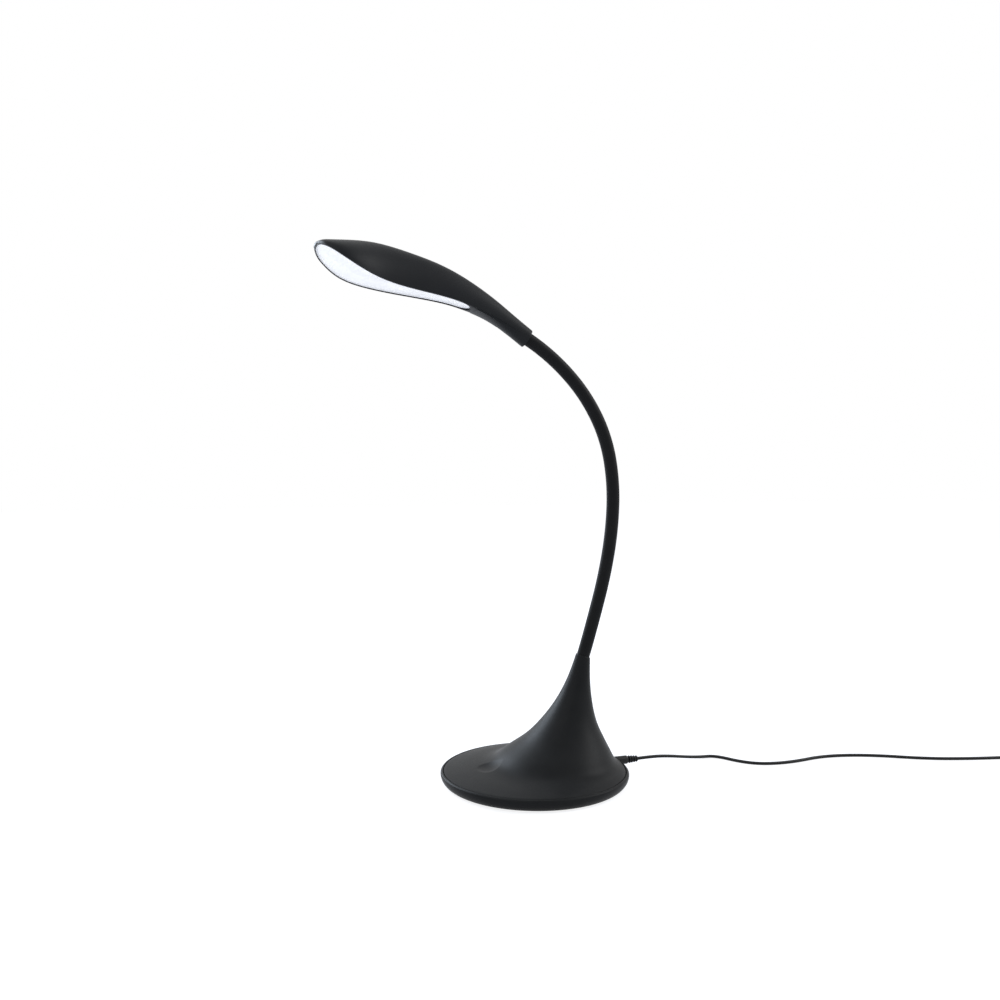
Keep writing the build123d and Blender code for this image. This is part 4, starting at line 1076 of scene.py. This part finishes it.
def make_adapter():
    """Plug-in adapter: rounded case with an end cap, two pins with collars, and its ribbed strain relief."""
    centre_x, front = ADAPTER_CENTRE_X, ADAPTER_FRONT
    profile = ADAPTER_EDGE + ADAPTER_SEAM + [(ADAPTER_MIDDLE, 0.0)]
    profile += [(ADAPTER_LENGTH - along, inset) for along, inset in reversed(ADAPTER_EDGE)]
    points = []
    for along, inset in profile:
        radius = max(ADAPTER_CORNER - 0.4 * inset, 0.8)
        wide, tall = ADAPTER_HALF_WIDTH - inset - radius, ADAPTER_HALF_HEIGHT - inset - radius
        for first, x, z in ((0, wide, tall), (90, -wide, tall), (180, -wide, -tall), (270, wide, -tall)):
            for turn in (radians(first + 90 * i / 8) for i in range(9)):
                points.append((centre_x + x + radius * cos(turn), front - along,
                               ADAPTER_HALF_HEIGHT + z + radius * sin(turn)))
    sides = 4 * 9
    faces = grid(len(profile), sides) + [tuple(range(sides)), tuple(range(len(points) - sides, len(points)))]
    case = settle(make_piece("adapter_shell", points, faces, "adapter", sharp=30), "base", "adapter_black",
                  "adapter_case")
    pins, collars = [], []
    for side in (-1, 1):
        start = (centre_x + ADAPTER_HALF_WIDTH - PIN_DEPTH, front - ADAPTER_LENGTH / 2 + side * PIN_SPREAD,
                 ADAPTER_HALF_HEIGHT)
        pins.append(lathe(f"pin_{side}", PIN_PROFILE, "nickel", start, (1, 0, 0), sides=32))
        collars.append(lathe(f"pin_collar_{side}", PIN_COLLAR_PROFILE, "collar", start, (1, 0, 0), sides=32))
    pins = settle(joined("mains_pins", pins), "base", "nickel", "adapter_pins")
    collars = settle(joined("pin_collars", collars), "base", "adapter_black")
    relief = lathe("adapter_boot", rounded(RELIEF_PROFILE, 0.4), "plug",
                   (centre_x, RELIEF_START, RELIEF_LEVEL), (0, -1, 0), sides=40)
    settle(relief, "base", "cord_black", "adapter_relief")
    ribs = make_ribs("adapter_boot_ribs", 5, (centre_x, RELIEF_FIRST_RIB, RELIEF_LEVEL), (0, -RIB_PITCH, 0),
                     (pi / 2, 0, 0), radius=3.2, shrink=-0.035, thickness=0.45)
    settle(ribs, "base", "cord_black")
    return [case, pins, collars, relief, ribs]


def joined(name, parts):
    """One mesh out of several."""
    work = bmesh.new()
    for part in parts:
        work.from_mesh(part.data)
    mesh = parts[0].data.copy()
    work.to_mesh(mesh)
    work.free()
    mesh.name = name
    piece = bpy.data.objects.new(name, mesh)
    bpy.context.scene.collection.objects.link(piece)
    for part in parts:
        bpy.data.objects.remove(part)
    return piece


class LAMP_OT_plug(bpy.types.Operator):
    """Build the low-voltage plug with its ribbed strain relief"""
    bl_idname = "lamp.plug"
    bl_label = "Plug"

    def execute(self, context):
        body = lathe("plug_grip", rounded(PLUG_PROFILE, 0.6), "plug", (PLUG_START, 0, JACK_AXIS_HEIGHT),
                     (1, 0, 0), sides=48, sharp=50)
        settle(body, "base", "plug_black", "plug_body")
        ribs = make_ribs("plug_ribs", 4, (PLUG_FIRST_RIB, 0, JACK_AXIS_HEIGHT), (RIB_PITCH, 0, 0),
                         (0, pi / 2, 0), radius=2.95, shrink=0.055, thickness=0.70)
        settle(ribs, "base", "plug_black")
        return {"FINISHED"}


# ---------------------------------------------------------------- inner parts
INNER_FINISHES = {
    "foot_pad": "pad_foam", "ballast_disc": "cast_iron", "base_screws": "steel",
    "control_board": "board_green", "board_parts": "component_black", "board_screws": "steel",
    "touch_sensor": "copper_foil", "dc_jack": "component_black", "base_leads": "wire_pvc",
    "neck_ferrule": "core_steel", "neck_nut": "steel", "plug_pin": "nickel", "led_board": "board_green",
    "leds": "led_yellow", "heat_spreader": "aluminium", "head_screws": "steel", "head_bush": "brass_bush",
    "head_leads": "wire_pvc",
}
INNER_CHAINS = {"neck_core": "core_steel", "neck_lead": "wire_pvc"}


class LAMP_OT_inner_parts(bpy.types.Operator):
    """Give the parts inside the base, neck and head their finishes"""
    bl_idname = "lamp.inner_parts"
    bl_label = "Inner parts"

    def execute(self, context):
        for name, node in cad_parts.items():
            chains = [finish for start, finish in INNER_CHAINS.items() if name.startswith(start)]
            finish = INNER_FINISHES.get(name, chains[0] if chains else None)
            if finish is None:
                if not node.hide_render:
                    raise RuntimeError(f"no finish for {name}")
                continue
            node.data.materials.clear()
            node.data.materials.append(finish_of(finish))
        return {"FINISHED"}


# ---------------------------------------------------------------- studio
def seen_directly(tree):
    """One for the rays that see the studio itself, zero for those that only carry its light."""
    ray = add(tree, "ShaderNodeLightPath").outputs
    seen = add(tree, "ShaderNodeMath", {0: ray["Is Camera Ray"], 1: ray["Is Glossy Ray"]}, operation="ADD")
    seen = add(tree, "ShaderNodeMath", {0: seen.outputs["Value"], 1: ray["Is Transmission Ray"]},
               operation="ADD", use_clamp=True)
    return seen.outputs["Value"]


def studio_floor():
    """White table whose seen colour is topped up to white and keeps the lamp's shadow."""
    half = TABLE_HALF_SIZE
    corners = [(-half, -half, 0), (half, -half, 0), (half, half, 0), (-half, half, 0)]
    mesh = bpy.data.meshes.new("floor")
    mesh.from_pydata(corners, [], [(0, 1, 2, 3)])
    floor = bpy.data.objects.new("floor", mesh)
    bpy.context.scene.collection.objects.link(floor)
    # Table paint, sprayed and fully matt, in an off-white.
    material = bpy.data.materials.new("studio_table_paint")
    material.use_nodes = True
    tree = material.node_tree
    shader = tree.nodes["Principled BSDF"]
    shader.inputs["Base Color"].default_value = linear("#f2f2f4")
    shader.inputs["Roughness"].default_value = 1.0
    shader.inputs["Specular IOR Level"].default_value = 0.0
    paper = add(tree, "ShaderNodeBsdfDiffuse", {"Color": linear("#9b9ea6")})
    glow = add(tree, "ShaderNodeEmission", {"Color": linear("#ffffff"), "Strength": 0.82})
    topped = add(tree, "ShaderNodeAddShader", {0: paper.outputs["BSDF"], 1: glow.outputs["Emission"]})
    both = add(tree, "ShaderNodeMixShader", {0: seen_directly(tree), 1: shader.outputs["BSDF"],
                                             2: topped.outputs["Shader"]})
    tree.links.new(both.outputs["Shader"], tree.nodes["Material Output"].inputs["Surface"])
    mesh.materials.append(material)


def studio_world():
    """Even daylight, seen as plain white."""
    world = bpy.data.worlds.new("studio_light")
    bpy.context.scene.world = world
    world.use_nodes = True
    tree = world.node_tree
    shown = add(tree, "ShaderNodeBackground", {"Color": linear("#ffffff"), "Strength": 1.0})
    lit = add(tree, "ShaderNodeBackground", {"Color": linear("#fbfcff"), "Strength": 0.62})
    both = add(tree, "ShaderNodeMixShader", {0: seen_directly(tree), 1: lit.outputs["Background"],
                                             2: shown.outputs["Background"]})
    tree.links.new(both.outputs["Shader"], tree.nodes["World Output"].inputs["Surface"])


def soft_lamp(name, place, aim, size_m, watts, tint):
    """Square soft box at a place, aimed at a point."""
    light = bpy.data.lights.new(name, "AREA")
    light.size = size_m
    light.energy = watts
    light.color = tint
    lamp = bpy.data.objects.new(name, light)
    lamp.location = place
    lamp.rotation_euler = (Vector(aim) - Vector(place)).to_track_quat("-Z", "Y").to_euler()
    lamp.visible_camera = False
    bpy.context.scene.collection.objects.link(lamp)


class LAMP_OT_studio(bpy.types.Operator):
    """Set up the camera, the white table and the soft light"""
    bl_idname = "lamp.studio"
    bl_label = "Studio"

    def execute(self, context):
        right, up = Vector(CAMERA_RIGHT), Vector(CAMERA_UP)
        turn = Matrix((right, up, right.cross(up))).transposed().to_4x4()
        camera = bpy.data.objects.new("camera", bpy.data.cameras.new("camera"))
        camera.data.lens = CAMERA_LENS
        camera.data.sensor_width = CAMERA_SENSOR
        camera.data.clip_start = 0.01
        camera.matrix_world = Matrix.Translation(CAMERA_PLACE) @ turn
        context.scene.collection.objects.link(camera)
        context.scene.camera = camera
        context.scene.view_settings.view_transform = "Standard"
        studio_world()
        studio_floor()
        for row in SOFT_BOXES:
            soft_lamp(*row)
        return {"FINISHED"}


class LAMP_PT_panel(bpy.types.Panel):
    """Lamp builder in the 3D view's sidebar"""
    bl_idname = "LAMP_PT_panel"
    bl_label = "Desk lamp"
    bl_space_type = "VIEW_3D"
    bl_region_type = "UI"
    bl_category = "Desk lamp"

    def draw(self, context):
        for group in (context.scene.lamp_sizes, context.scene.lamp_colours):
            for name in type(group).__annotations__:
                self.layout.prop(group, name)
        for operator in OPERATORS:
            self.layout.operator(operator.bl_idname)


OPERATORS = (LAMP_OT_studio, LAMP_OT_lead, LAMP_OT_plug, LAMP_OT_base, LAMP_OT_neck, LAMP_OT_head,
             LAMP_OT_light_panel, LAMP_OT_inner_parts)
CLASSES = (LampSizes, LampColours) + OPERATORS + (LAMP_PT_panel,)


def register():
    """Register the classes and hang the property groups on the scene."""
    for cls in CLASSES:
        bpy.utils.register_class(cls)
    bpy.types.Scene.lamp_sizes = bpy.props.PointerProperty(type=LampSizes)
    bpy.types.Scene.lamp_colours = bpy.props.PointerProperty(type=LampColours)


def unregister():
    """Take the property groups and the classes away again."""
    del bpy.types.Scene.lamp_sizes
    del bpy.types.Scene.lamp_colours
    for cls in reversed(CLASSES):
        bpy.utils.unregister_class(cls)


def main():
    """Build everything in order and keep both boxes."""
    register()
    for operator in OPERATORS:
        group, name = operator.bl_idname.split(".")
        getattr(getattr(bpy.ops, group), name)()
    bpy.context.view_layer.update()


if __name__ == "__main__":
    main()
